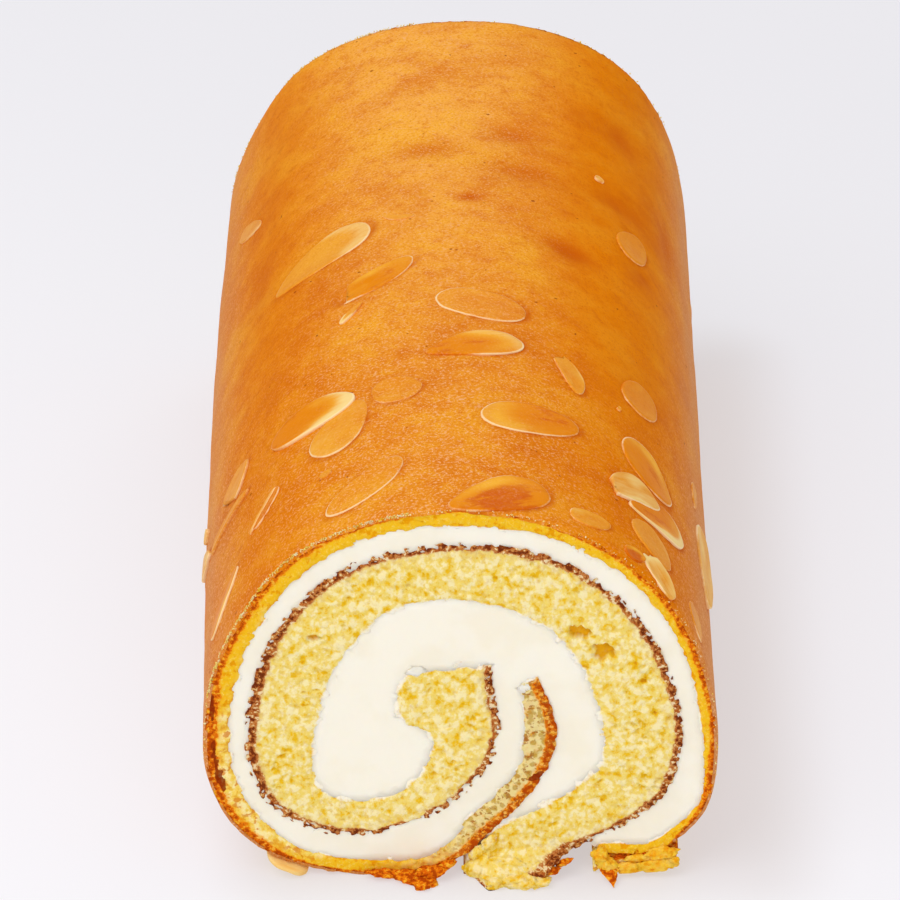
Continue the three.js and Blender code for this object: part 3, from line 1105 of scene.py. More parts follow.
    def snap(self, obj: Piece, number: int) -> None:
        """Breaks the blunt end off the ball, a little askew.

        Blender starts the face that closes the break anywhere, so it is made anew from its vertex with the
        greatest Y and comes out divided alike each time.

        Args:
            obj: The ball.
            number: The flake's number.
        """
        with edit_mode():
            bpy.ops.mesh.bisect(
                plane_co=(2 * self.broken - 1, 0, 0),
                plane_no=(-1, self.lean(number), 0),
                clear_outer=True,
                use_fill=True,
            )
            mesh = bmesh.from_edit_mesh(obj.data)
            face = max(mesh.faces, key=lambda each: len(each.verts))
            ring = list(face.verts) if face.normal.x < 0 else list(face.verts)[::-1]
            first = ring.index(max(ring, key=lambda vertex: vertex.co.y))
            mesh.faces.remove(face)
            mesh.faces.new(ring[first:] + ring[:first])
            bmesh.update_edit_mesh(obj.data)

    def mark(self, obj: Piece, share: Array, facing: Array, wave: Array) -> None:
        """Stores how amber, how pale and how light-rimmed the flake is at each vertex.

        Args:
            obj: The piece.
            share: How far out each vertex is.
            facing: Its direction from the middle, in radians as for turn.
            wave: The flake's own unevenness.
        """
        amber, rim, body, dry = self.kind.value
        # toward: how far each place faces bright, from which the flake is painted as lit
        toward = 0.5 + 0.5 * np.cos(facing - math.radians(self.bright))
        # rim: the pale edge, painted brighter on the lit side as a highlight
        ring = smooth(share, 0.935, 0.985) * rim * (0.35 + 0.75 * toward + 0.5 * wave)
        # pale band and pale end: painted highlights on the lit side; dry flesh is pale all over
        reach = self.band * toward**2
        inner = smooth(share, 0.95 - reach, 1.05 - 0.5 * reach) if self.band else np.zeros_like(share)
        end = self.patch * smooth(toward * share + 0.15 * wave, 0.4, 0.85)
        pale = np.maximum(np.maximum(inner, end), dry * (1 + 0.5 * wave))
        # painted shade: the amber is deeper away from the lit side
        depth = 1.05 - 0.6 * toward * smooth(share, 0.2, 0.95) - 0.3 * wave
        put_masks(
            obj,
            rim=np.clip(ring, 0, 1),
            pale=np.clip(pale, 0, 1),
            body=body * (0.85 + 0.3 * wave),
            amber=np.clip(amber * depth, 0, 1.3),
            # painted light shining through the flake on its lit side
            glow=np.clip(amber * toward**3 * bump(share, 0.72, 0.26), 0, 1),
        )


# bright is the direction from which each flake is painted as lit
FLAKES = (
    AlmondFlake(-36.3, 96.8, 21.5, 9.5, 245, CLEAR, bright=55, patch=0.6, bend=0.8),
    AlmondFlake(-21.3, 81.5, 17, 6.5, 56, AMBER, bright=-20, broken=0.15, point=0.1, bend=-1),
    AlmondFlake(5.4, 69.2, 17, 9.5, 287, WASHED, bright=-80, point=0.05),
    AlmondFlake(3.7, 55, 18, 7.6, 255, AMBER, bright=40, patch=0.5, lift=0.15, bend=-0.5, point=0.35),
    AlmondFlake(28.4, 52.1, 12.6, 4.2, 158, GOLD, bright=60, patch=0.5, broken=0.15, bend=1, point=0),
    AlmondFlake(49.6, 110.3, 10.5, 7.5, 24, FAINT, bright=90, point=0.1),
    AlmondFlake(50.5, 57.7, 11, 9, 32, FAINT, bright=150, point=0.05),
    AlmondFlake(-15.8, 41.4, 9, 8.5, 93, FAINT, bright=180, point=0.1),
    AlmondFlake(-29.9, 33.6, 16.2, 9.5, 25, GOLD, bright=190, patch=0.35, point=0.2),
    AlmondFlake(-37.9, 41, 17.5, 9.3, 263, AMBER, layer=1, bright=112, patch=0.95, band=0.3, point=0),
    AlmondFlake(17.8, 32.6, 18.5, 9.5, 80, AMBER, bright=-120, patch=0.3, point=0.1),
    AlmondFlake(52.6, 36, 14.5, 11.2, 126, AMBER, bright=40, point=0.1, bend=-0.6),
    AlmondFlake(
        46.3, 24, 13.4, 7.2, 60, PALE, layer=1, bright=150, patch=0.8, broken=0.1, bend=1.7, point=-0.1
    ),
    AlmondFlake(55.6, 22.8, 17, 8, 246, AMBER, bright=125, patch=0.5, band=0.5, lift=0.2, bend=-0.6),
    AlmondFlake(-66.6, 44.6, 10.6, 7.2, 63, GOLD, bright=215, patch=0.45, broken=0.2, lift=0.2, point=0.35),
    AlmondFlake(-52, 23.2, 9, 3.6, 56, BARE, bright=120, point=0.1, bend=-0.5),
    AlmondFlake(-23.5, 12.2, 18.3, 7.2, 47, WASHED, bright=170, patch=0.2, point=0, bend=-0.8),
    AlmondFlake(9.3, 5.8, 19.4, 9.6, 242, DEEP, bright=-30, point=0.35),
    AlmondFlake(33.2, 6.5, 8.5, 4.6, 75, GOLD, bright=0, point=0.1),
    AlmondFlake(-64.9, 133.5, 11, 4, 130, CLEAR, bright=180, patch=0.5),
    AlmondFlake(52.8, 12.4, 11, 8, 124, CLEAR, bright=60, patch=0.4, point=0.1, bend=0.5),
    AlmondFlake(54.5, 3.8, 9.6, 5.2, 130, PALE, bright=-60, patch=0.9, broken=0.1, side_lift=0.6, point=0.1),
    AlmondFlake(77.6, 53.2, 7, 2.6, 174, GOLD, bright=60, patch=0.5),
    AlmondFlake(83.5, 36.4, 20.5, 6, 168, PALE, bright=60, patch=0.5, lift=0.2, side_lift=0.8, point=0.2),
    AlmondFlake(73, 7.2, 8, 5, 148, GOLD, bright=90, patch=0.2),
    AlmondFlake(-90, 45, 12, 4, 125, PALE, bright=-90, patch=0.6, lift=0.4),
    AlmondFlake(-73, 13.8, 14, 6, 65, AMBER, bright=155, band=0.1, side_lift=-0.15, point=0.2),
    AlmondFlake(-70.9, 37.6, 16.6, 2.2, 97, CLEAR, bright=20, lift=0.25, point=0.1),
    AlmondFlake(-114, 62, 19, 9, 20, GOLD),
    AlmondFlake(-109, 92, 20, 8, 160, AMBER),
    AlmondFlake(-120, 120, 16, 8, 25, GOLD),
    AlmondFlake(-111, 149, 18, 8, 20, CLEAR),
    AlmondFlake(113, 74, 19, 8, 22, AMBER),
    AlmondFlake(110, 104, 21, 9, 10, GOLD),
    AlmondFlake(116, 130, 17, 8, 165, CLEAR),
    AlmondFlake(108, 154, 15, 7, 30, AMBER),
    AlmondFlake(116, 24, 16, 8, 160, GOLD),
)

BITS = (
    AlmondFlake(-15.7, 102, 6, 1.5, 286, GOLD, patch=0.5, bend=0.8, point=0),
    AlmondFlake(-33.5, 20.2, 2.6, 1.8, 60, CLEAR, patch=0.3, lift=0.1),
    AlmondFlake(-53.3, 23.3, 9.4, 0.8, 54, PALE, patch=0.5, lift=0.15, point=0),
    AlmondFlake(38.7, 126.5, 2.0, 1.2, 100, PALE, patch=1.0, lift=0.2),
    AlmondFlake(42.7, 48.5, 1.1, 0.9, 0, GOLD, patch=0.5, lift=0.1),
    AlmondFlake(-27.3, 71.4, 6.4, 1.4, 41, GOLD, bright=220, patch=0.9, lift=0.2, point=0.3),
    AlmondFlake(46.3, 3.9, 5.6, 3.6, 56, DEEP, lift=0.05),
    AlmondFlake(-88, 52, 3.6, 2.4, 110, PALE, patch=1.0, lift=0.4),
)


@dataclass
class AlmondBits:
    """Slivers too small to be flakes of their own, joined into one piece.

    Attributes:
        first_seed: The number of the first, which seeds its unevenness.
    """

    skin: BrownedSkin
    first_seed: int = 60

    def build(self, finish: Material) -> None:
        """Models and joins the slivers and fixes them.

        Args:
            finish: The almond finish.
        """
        parts = [bit.build(f"bit_{i}", self.skin, i) for i, bit in enumerate(BITS, self.first_seed)]
        obj = join(parts, "almond_bits")
        shade(obj, finish)
        seat(obj)


@dataclass
class CaughtFlake:
    """The flake caught under the left of the roll, whose end shows below the near cut face.

    Attributes:
        middle: The x and z of its middle, in millimetres, like the lengths below.
        slope: Degrees that it is turned, seen from the front.
        front: How far it reaches in front of the cut, and back, behind it.
        square: The power that makes a flat-ended form of a ball.
    """

    form: RollForm
    middle: Pair = (-30.4, 1.9)
    long: float = 8.6
    thick: float = 1.5
    slope: float = -24.0
    front: float = 1.6
    back: float = 15.0
    square: float = 0.6

    def build(self, finish: Material) -> None:
        """Models the flake end-on from a stretched ball and fixes it.

        Args:
            finish: The almond finish.
        """
        clear_selection()
        bpy.ops.mesh.primitive_uv_sphere_add(segments=32, ring_count=20, radius=1)
        obj = newest("caught_flake")
        ball = places(obj)
        wave = grain(ball, 0.9, 8.0, 3)
        squared = np.sign(ball) * np.abs(ball) ** self.square * (1 + 0.06 * wave[:, None])
        u, v = squared[:, 0] * self.long / 2, squared[:, 2] * self.thick / 2
        lean = math.radians(self.slope)
        x = self.middle[0] + u * math.cos(lean) - v * math.sin(lean)
        z = self.middle[1] + u * math.sin(lean) + v * math.cos(lean)
        run = (self.back + self.front) / 2
        y = (self.back - self.front) / 2 + squared[:, 1] * run - self.form.length / 2
        put_places(obj, self.form.settle(stack(x, y, z)))
        put_flat_map(obj, u * MM, squared[:, 1] * run * MM)
        put_masks(obj, pale=0.75 + 0.3 * wave, amber=0.1, rim=0.0, body=1.0)
        shade(obj, finish)
        seat(obj, ["almond_flake_caught"])


# ---------------- the sponge sheets

AT_CUT = 0.499  # how far across the flat sheet, from -0.5 to 0.5, its cut faces lie
ON_FACE = np.array([1, 0, 1])  # takes the middle one of three coordinates away


@dataclass
class SpongeSheet:
    """A sheet of sponge, modelled flat, rolled up along its guide and opened at both cut faces.

    Attributes:
        name: What the piece is called.
        form: The roll that it is part of.
        guide: Its browned side.
        columns: How many faces along the sheet.
        layers: How many faces through its depth.
        rows: How many faces along the roll.
        grow: How far it reaches into the cream on both sides, in millimetres.
        pit: Depth of its larger pores at the cut, in millimetres.
        cell: Width, height and length of those pores, in millimetres.
        ragged: How uneven its two edges are at the cut, in millimetres.
        skin_fall: How far the crumb falls away here and there along its browned side, in millimetres.
        crumb_fall: The same along its crumb side.
        smeared: How far the cream is smeared over its crumb side, in millimetres.
        end_ragged: How uneven its inner end is, in millimetres.
        end_reach: How far that end reaches into the cream, in millimetres.
        slits: Slits in the near cut, painted dark as their shade: x and z, half sizes across and up, and lean
        in degrees.
        seed: Which of the endless patterns its unevenness is taken from.
        knife: How far the crumb lies behind the cream's face where cream is smeared over it, in millimetres.
        rounding: How much its faces fall back before the cut away from it, in millimetres.
        obj: The piece.
    """

    name: str
    form: RollForm
    guide: Guide
    columns: int
    layers: int
    rows: int = 10
    grow: float = 0.25
    pit: float = 0.45
    cell: Triple = (1.8, 1.3, 1.5)
    ragged: float = 0.35
    skin_fall: float = 0.55
    crumb_fall: float = 0.28
    smeared: float = 2.2
    end_ragged: float = 1.0
    end_reach: float = 0.7
    slits: tuple[tuple[float, float, float, float, float], ...] = ()
    seed: float = 1.0
    knife: float = 0.38
    rounding: float = 2.6
    obj: Piece = field(init=False)

    def build(self, slot: str, nodes: Sequence[str], finish: Material) -> Piece:
        """Models, rolls, opens and dresses the sheet.

        Args:
            slot: Not used.
            nodes: The CAD nodes that it stands for.
            finish: Its material.

        Returns:
            The piece.
        """
        self.lay_flat()
        share, turned, deep = self.flat_shares()
        side = np.sign(turned)
        along = share * self.guide.length()
        browned, behind = self.guide.walls(share, self.grow)
        depth = np.linalg.norm(behind - browned, axis=1)
        inset = self.inset(share, turned)
        down = inset + deep * (depth - inset)
        where = stack(along, down, FACES_APART * side)
        cut = np.abs(turned) > AT_CUT
        section = browned + (behind - browned) * (down / depth)[:, None]
        section += self.raggedness(where, behind - browned, down, depth)
        spot = stack(section, FACES_APART * side)
        hollow = np.zeros(len(share))
        hollow[cut] = self.hollow(spot[cut], along[cut], deep[cut], depth[cut])
        stretch = side * (1 - (1 - 2 * np.abs(turned)) ** 2.2)
        back = np.where(cut, hollow, self.rounding * smooth(np.abs(turned), 0.3, 0.5))
        y = stretch * self.form.length / 2 - side * back
        points = self.finish_face(stack(section[:, 0], y, section[:, 1]), cut)
        put_places(self.obj, self.form.settle(points))
        put_flat_map(self.obj, along * MM, down * MM)
        with edit_mode():
            bpy.ops.mesh.normals_make_consistent(inside=False)
        edge = np.minimum(depth - down, along)
        put_masks(
            self.obj,
            # hollow: also paints shade, as deeper pits take the pore colours
            hollow=smooth(hollow, 0.2, 0.7),
            # cavity: how far a place lies down in a cavity, for its painted shade
            cavity=smooth(self.depth_behind(points, cut), 0.85, 1.25),
            creamed=(1 - smooth(edge, 0.3, self.smeared)) * (self.smeared > 0),
            dull=self.dullness(share),
            browned=self.browning(where, share, down) * smooth(along, 0, 1.6),
            eggy=self.egginess(where, share, down / depth),
            # painted shade of the slits
            burnt=self.slit(section) * cut * (turned < 0),
            tanned=0.6 * (1 - smooth(down, 1.0, 3.6)) * (self.smeared > 1),
        )
        shade(self.obj, finish)
        seat(self.obj, nodes)
        return self.obj

    def lay_flat(self) -> None:
        """Models the sheet flat: its length along X, the roll's axis along Y, browned side up."""
        clear_selection()
        bpy.ops.mesh.primitive_grid_add(x_subdivisions=self.columns, y_subdivisions=self.rows, size=1)
        self.obj = newest(self.name)
        with edit_mode():
            for _ in range(self.layers):
                bpy.ops.mesh.extrude_region_move(TRANSFORM_OT_translate={"value": (0, 0, -1 / self.layers)})

    def flat_shares(self) -> tuple[Array, Array, Array]:
        """Each vertex's share of the length, place across from -0.5 to 0.5, and share of the depth."""
        flat = places(self.obj)
        return np.clip(flat[:, 0] + 0.5, 0, 1), flat[:, 1], np.clip(-flat[:, 2], 0, 1)

    def inset(self, share: Array, turned: Array) -> Array:
        """How far the modelled sheet starts below its browned side, in millimetres."""
        return np.full(len(share), -self.grow)

    def hollow(self, spot: Array, along: Array, deep: Array, depth: Array) -> Array:
        """How far the crumb lies behind the plane of the cut.

        Args:
            spot: Places on the cut in millimetres.
            along: Millimetres along the sheet.
            deep: Shares of the depth.
            depth: Depth of the sheet there.

        Returns:
            Millimetres, one for each place.
        """
        size = np.array(self.cell)
        push = stack(*[grain(spot, size * 1.6, self.seed + k, 2) for k in (0.0, 7.0)])
        moved = spot + stack(push * size[:2] * 0.9, np.zeros(len(spot)))
        open_cell = smooth(cells(moved, size, self.seed), 0.25, 0.7)
        crowd = smooth(grain(spot, size * 3.2, self.seed + 3, 2), -0.35, 0.35)
        coarse = grain(spot, (9, 5, 9), self.seed + 9, 2)
        fine = grain(spot, (0.8, 0.6, 0.8), self.seed + 5, 2)
        skin_gap = smooth(grain(spot, (1.3, 1.2, 1.3), self.seed + 12, 2), -0.25, 0.4)
        crumb_gap = smooth(grain(spot, (2.4, 2.0, 2.4), self.seed + 13, 3), -0.35, 0.35)
        fallen = self.skin_fall * skin_gap * (1 - smooth(deep * depth, 0.2, 1.1))
        open_face = 0.2 + self.pit * open_cell * (0.25 + 0.75 * crowd) + 0.12 * coarse + 0.1 * fine + fallen
        edge = np.minimum((1 - deep) * depth, along)
        creamy = (1 - smooth(edge, 0.5, self.smeared + 0.8)) * (self.smeared > 0)
        level = self.knife - self.form.knife_wave(spot[:, :2], np.sign(spot[:, 2])) + 0.06 * fine
        level += self.crumb_fall * (crumb_gap - 0.5) + 0.28 * (1 - smooth(edge, 0, 1.7))
        return open_face * (1 - creamy) + level * creamy

    def raggedness(self, where: Array, across: Array, down: Array, depth: Array) -> Array:
        """Unevenness of the two edges and of the inner end in the section, fading into the sheet."""
        unit = across / np.maximum(np.linalg.norm(across, axis=1), 1e-6)[:, None]
        edge = where * np.array([1, 0.4, 1])
        skin = grain(edge, (1.3, 1.3, 1.3), self.seed + 21, 3) * np.exp(-down / 0.9)
        crumb = grain(edge, (2.2, 2.2, 2.2), self.seed + 22, 3) * np.exp(-(depth - down) / 1.2)
        end = grain(where * np.array([0, 1, 1]), (1, 2.2, 1), self.seed + 23, 3) * np.exp(-where[:, 0] / 1.5)
        forward = stack(-unit[:, 1], unit[:, 0])
        reach = self.end_ragged * end - self.end_reach * np.exp(-where[:, 0] / 1.5)
        return unit * (self.ragged * (skin + 1.3 * crumb))[:, None] + forward * reach[:, None]

    def finish_face(self, points: Array, cut: Array) -> Array:
        """A place for a sheet's own last changes of form. The plain sheet has none."""
        return points

    def depth_behind(self, points: Array, cut: Array) -> Array:
        """How far each vertex of the cut faces lies behind them, in millimetres, and 0 elsewhere."""
        return np.where(cut, self.form.length / 2 - np.abs(points[:, 1]), 0)

    def slit(self, section: Array) -> Array:
        """How far inside a dark slit each place of the section is, from 0 to 1."""
        inside = np.zeros(len(section))
        for x, z, across, up, lean in self.slits:
            angle = math.radians(lean)
            right, above = section[:, 0] - x, section[:, 1] - z
            u = (right * math.cos(angle) + above * math.sin(angle)) / across
            v = (above * math.cos(angle) - right * math.sin(angle)) / up
            ragged = 0.5 * grain(stack(section, section[:, 0]), 1.1, x, 2)
            inside = np.maximum(inside, 1 - smooth(np.hypot(u, v) + ragged, 0.6, 1.15))
        return inside

    def dullness(self, share: Array) -> Array:
        """How dull the crumb is, from 0 to 1."""
        return np.zeros(len(share))

    def browning(self, where: Array, share: Array, down: Array) -> Array:
        """How browned the crumb is, from 0 to 1."""
        band = 0.75 + 0.25 * grain(where * ON_FACE, (3, 1, 3), self.seed + 30, 2)
        return 1 - smooth(down, 0.5 * band, 1.5 * band)

    def egginess(self, where: Array, share: Array, deep: Array) -> Array:
        """How deep a yellow the crumb is, from 0 to 1."""
        return np.zeros(len(where))


@dataclass
class InnerSponge(SpongeSheet):
    """The thick sheet, with two cavities in its right side, a crack in its left, and a foot on the table.

    Attributes:
        cavities: Their x, z and radius at the near cut, in millimetres.
        foot: The foot's middle x, half width, and how far it is squeezed forward, in millimetres.
        patchy: The shares of its length between which the browned line is broken.
        patch_share: The share where a patch of the line is left at the foot.
        left_share: The share where the line is thickest, on the left.
    """

    cavities: tuple[Triple, ...] = ((20.9, 50.9, 2.1), (24.6, 47.0, 2.2), (-25.5, 50, 1.1))
    foot: Triple = (10.5, 9.5, 4.2)
    patchy: Pair = (0.12, 0.23)
    patch_share: float = 0.925
    left_share: float = 0.33

    def browning(self, where: Array, share: Array, down: Array) -> Array:
        """Browns the skin in an uneven line, broken below the roll's middle and spread at the foot."""
        line = where * ON_FACE
        band = 1.25 + 0.45 * grain(line, (3, 1, 3), self.seed + 30, 3)
        band += 0.5 * bump(share, self.left_share, 0.12)
        band += 0.5 * bump(share, self.patch_share, 0.008)
        first, last = self.patchy
        broken = smooth(share, first, first + 0.04) * (1 - smooth(share, last - 0.04, last))
        band *= 1 - 0.65 * broken * smooth(grain(line, (5, 1, 5), self.seed + 33, 2), -0.15, 0.3)
        strength = 0.92 + 0.08 * bump(share, self.left_share, 0.16)
        return strength * (1 - smooth(down, 0.5 * band, 1.4 * np.maximum(band, 0.01)))

    def finish_face(self, points: Array, cut: Array) -> Array:
        """Opens the cavities and squeezes the foot forward at the near cut."""
        near = cut & (points[:, 1] < 0)
        x, z = points[:, 0], points[:, 2]
        for middle_x, middle_z, radius in self.cavities:
            far = np.hypot((x - middle_x) / radius, (z - middle_z) / (0.8 * radius))
            far = far + 0.6 * grain(points * ON_FACE, 1.5, middle_x, 2)
            points[:, 1] += np.where(near, 1.1 * (1 - smooth(far, 0.7, 1.0)), 0)
        middle, half, reach = self.foot
        low = 1 - smooth(z, 0.5, 6.0)
        side = 1 - smooth(np.abs(x - middle), 0.6 * half, half)
        points[:, 1] -= np.where(near, reach * low * side * (1 + 0.35 * grain(points, 2.5, 4.0, 2)), 0)
        return points


@dataclass
class OuterWrap(SpongeSheet):
    """The thin sheet: an eggy wrap round the roll, with a browned strip at its inner end.

    Attributes:
        strip_share: The share of its length where the strip ends.
        band_shares: The shares between which its browned band is thick, low on the left.
        pale_shares: The shares between which it is pale nearly to its skin, under the roll.
        low_shares: The shares between which the band is a little thicker, low on the right.
        left_high: The share and spread of a thicker stretch of band on the left.
        right_high: The same on the right.
        top_share: The share of its length where the band is thinnest, at the top.
        under_skin: How far it starts under the skin's face at the cut and behind it, in millimetres.
    """

    strip_share: float = 0.13
    band_shares: Pair = (0.285, 0.385)
    pale_shares: Pair = (0.2, 0.35)
    low_shares: Pair = (0.875, 0.94)
    left_high: Pair = (0.47, 0.09)
    right_high: Pair = (0.78, 0.08)
    top_share: float = 0.62
    under_skin: Pair = (0.3, 1.9)

    def inset(self, share: Array, turned: Array) -> Array:
        """Leaves room for the skin outside the roll, and more of it away from the cut faces."""
        outside = smooth(share, 0.14, 0.155)
        return outside * np.where(np.abs(turned) > AT_CUT, *self.under_skin) - (1 - outside) * self.grow

    def browning(self, where: Array, share: Array, down: Array) -> Array:
        """Browns the strip's skin well, the low left side in a thick band, and the rest in a thin line."""
        strip = 1 - smooth(share, self.strip_share, self.strip_share + 0.05)
        first, last = self.band_shares
        thick = smooth(share, first - 0.05, first + 0.02) * (1 - smooth(share, last, last + 0.04))
        wave = grain(where * ON_FACE, (2.5, 1, 2.5), self.seed + 30, 3)
        slow = grain(where * ON_FACE, (20, 1, 20), self.seed + 34, 1)
        first, last = self.low_shares
        low = smooth(share, first - 0.03, first + 0.01) * (1 - smooth(share, last - 0.02, last + 0.01))
        left, right = bump(share, *self.left_high), bump(share, *self.right_high)
        band = 1.0 + 0.3 * strip + 1.0 * thick + 0.5 * low + 0.7 * left + 0.45 * right
        band -= 0.45 * bump(share, self.top_share, 0.07)
        band += (0.2 + 0.25 * thick) * wave + 0.2 * slow
        band *= 1 - 0.6 * smooth(share, 0.94, 0.96)
        return 1 - smooth(down, 0.6 * band, 1.4 * band)

    def egginess(self, where: Array, share: Array, deep: Array) -> Array:
        """Makes the wrap eggy towards its skin and the strip dull."""
        wrap = smooth(share, self.strip_share, self.strip_share + 0.08)
        first, last = self.pale_shares
        pale = smooth(share, first, first + 0.08) * (1 - smooth(share, last, last + 0.08))
        reach = 0.98 - 0.6 * pale + 0.3 * grain(where * ON_FACE, (7, 1, 7), self.seed + 31, 2)
        return wrap * (1 - smooth(deep, reach - 0.2, reach + 0.25))

    def dullness(self, share: Array) -> Array:
        """The strip is duller than the rest."""
        return 0.8 * (1 - smooth(share, self.strip_share - 0.02, self.strip_share + 0.06))


# ---------------- the browned skin


@dataclass(frozen=True)
class Dent:
    """A dip in the skin that baked darker. Lengths are in millimetres.

    Attributes:
        clock: Degrees clockwise from the top of the roll.
        back: Distance of its middle from the near cut face.
        round_mm: How far it spreads round the roll.
        away_mm: How far it spreads along the roll.
        deep: How deep it is.
        dark: How dark it baked.
    """

    clock: float
    back: float
    round_mm: float
    away_mm: float
    deep: float
    dark: float

    def near(self, side: BakedSide, along: Array, back: Array) -> Array:
        """How near each place is to the dip's middle: 1 there, and 0 well away from it."""
        ahead = (along - side.distance(self.clock)) / self.round_mm
        return np.exp(-(ahead**2) - ((back - self.back) / self.away_mm) ** 2)


DENTS = (
    Dent(14, 133, 6, 4.5, 0.7, 0.55),
    Dent(-8, 126, 8, 4, 0.3, 0.55),
    Dent(17, 120, 10, 4.5, 0.6, 0.5),
    Dent(3, 108, 3, 2, 0.2, 0.8),
    Dent(30, 96, 6, 4, 0.9, 0.85),
    Dent(45, 122, 8, 4, 0.5, 0.45),
    Dent(46, 148, 5, 6, 0.5, 0.6),
    Dent(66, 128, 3.5, 12, 0.5, 0.5),
    Dent(-58, 104, 5, 9, 0.3, 0.3),
    Dent(54, 103, 2.5, 1.6, 0.25, 0.7),
)


@dataclass
class BrownedSkin:
    """The baked skin round the outside of the wrap, a thin shell that carries the flakes.

    Attributes:
        side: The surface that it lies on.
        thick: Its thickness, in millimetres.
        column_step: The size of its faces round the roll, and row_step along it, in millimetres.
        first_share: The share of the wrap's length where the skin starts. It ends at last_share.
        scorched: How much darker than its own dark value a dip comes out.
        bed: How far from a flake's middle the skin is changed by it, in millimetres.
    """

    form: RollForm
    side: BakedSide
    flakes: tuple[AlmondFlake, ...]
    thick: float = 0.5
    column_step: float = 0.9
    row_step: float = 1.15
    first_share: float = 0.153
    last_share: float = 0.95
    scorched: float = 1.35
    bed: float = 14.0

    def build(self, finish: Material) -> Piece:
        """Models the skin flat, wraps it round the roll and dresses it.

        Args:
            finish: The skin finish.

        Returns:
            The piece.
        """
        total = WRAP_GUIDE.length()
        start, stop = self.first_share * total, self.last_share * total
        columns = round((stop - start) / self.column_step)
        rows = round(self.form.length / self.row_step)
        clear_selection()
        bpy.ops.mesh.primitive_grid_add(x_subdivisions=columns, y_subdivisions=rows, size=1)
        obj = newest("browned_skin")
        with edit_mode():
            bpy.ops.mesh.extrude_region_move(TRANSFORM_OT_translate={"value": (0, 0, -1)})
            bpy.ops.mesh.normals_make_consistent(inside=False)
        flat = places(obj)
        along = start + (flat[:, 0] + 0.5) * (stop - start)
        y = flat[:, 1] * self.form.length
        height = self.mark(obj, along, y)
        end = self.form.length / 2 - np.abs(y)
        height -= 0.25 * (1 - smooth(end, 0, 0.9))
        under = flat[:, 2] < -0.5
        x, z = self.side.point(along, np.where(under, height - self.thick, height))
        edge = grain(stack(along, FACES_APART * np.sign(y), np.zeros_like(y)), 1.4, 61.0, 3)
        y += np.sign(y) * np.where(end < 0.01, 0.35 * edge - 0.15, 0)
        put_places(obj, self.form.settle(stack(x, y, z)))
        put_flat_map(obj, along * MM, y * MM)
        shade(obj, finish)
        seat(obj, ["outer_wrap"])
        return obj

    def mark(self, obj: Piece, along: Array, y: Array) -> Array:
        """Stores what the skin's colour reads, on the skin or on a piece that it shows through.

        Args:
            obj: The piece.
            along: Millimetres along the wrap, one a vertex.
            y: Millimetres from the middle of the roll, one a vertex.

        Returns:
            The skin's height over the plain roll there, in millimetres.
        """
        height = self.waves(along, y)
        back = y + self.form.length / 2
        scorch = 0.15 * smooth(grain(stack(along, y, 0 * y), (17, 12, 20), 44.0, 3), 0.1, 0.8)
        glaze = np.zeros_like(y)
        for dent in DENTS:
            scorch = np.maximum(scorch, self.scorched * dent.dark * dent.near(self.side, along, back) ** 1.5)
        for flake in self.flakes:
            if flake.layer:
                continue
            ahead, aside = along - flake.span(self.side), back - flake.back
            close = (np.abs(ahead) < self.bed) & (np.abs(aside) < self.bed)
            share = flake.rim_share(ahead[close], aside[close])
            height[close] += 0.1 * bump(share, 1.12, 0.12) - 0.14 * (1 - smooth(share, 0.9, 1.05))
            # painted shadow: the ring round a flake is darker on one side, as if the flake cast a shadow
            shadow = 0.45 + 0.35 * np.tanh((aside[close] * -0.6 + ahead[close] * 0.4) / 2)
            glaze[close] = np.maximum(glaze[close], shadow * bump(share, 1.03, 0.09))
        put_masks(obj, scorch=np.clip(scorch, 0, 1), glaze=np.clip(glaze, 0, 1))
        # blush, crown and rich: painted sheen on flanks and top, and where it is least
        put_masks(obj, blush=self.blush(along, y), crown=self.crown(along, y), rich=self.rich(along))
        return height

    def waves(self, along: Array, y: Array) -> Array:
        """How the skin rises and falls over the plain roll, in millimetres, apart from the flakes' beds."""
        where = stack(along, y, np.zeros_like(y))
        height = 0.2 * grain(where, (24, 20, 20), 40.0, 2) + 0.04 * grain(where, (5, 3.5, 5), 42.0, 2)
        for dent in DENTS:
            height -= dent.deep * dent.near(self.side, along, y + self.form.length / 2)
        return height

    def blush(self, along: Array, y: Array) -> Array:
        """Painted reflection: where the skin is paler and pinker, low down both flanks, as a sheen seen at a
        slant.
        """
        left = 1 - smooth(along, self.side.distance(-92), self.side.distance(-58))
        right = smooth(along, self.side.distance(56), self.side.distance(94))
        where = stack(along, y, np.zeros_like(y))
        return np.clip((0.65 * left + 0.9 * right) * (1 + 0.5 * grain(where, (9, 30, 9), 50.0, 3)), 0, 1)

    def rich(self, along: Array) -> Array:
        """Painted light: where the skin is a fuller orange down both shoulders, as the least light is
        reflected there.
        """
        right, left = bump(along, self.side.distance(46), 20), bump(along, self.side.distance(-52), 14)
        return np.clip(1.05 * right + 0.75 * left, 0, 1)

    def crown(self, along: Array, y: Array) -> Array:
        """Painted highlight: where the skin is yellower, along the top and more so towards the far end."""
        top = bump(along, self.side.distance(-6), 27)
        far = smooth(y, -0.45 * self.form.length, 0.5 * self.form.length)
        end = smooth(y, 0.3 * self.form.length, 0.52 * self.form.length)
        return np.clip(top * (0.25 + 0.95 * far) + 0.45 * end, 0, 1)


# ---------------- the cream


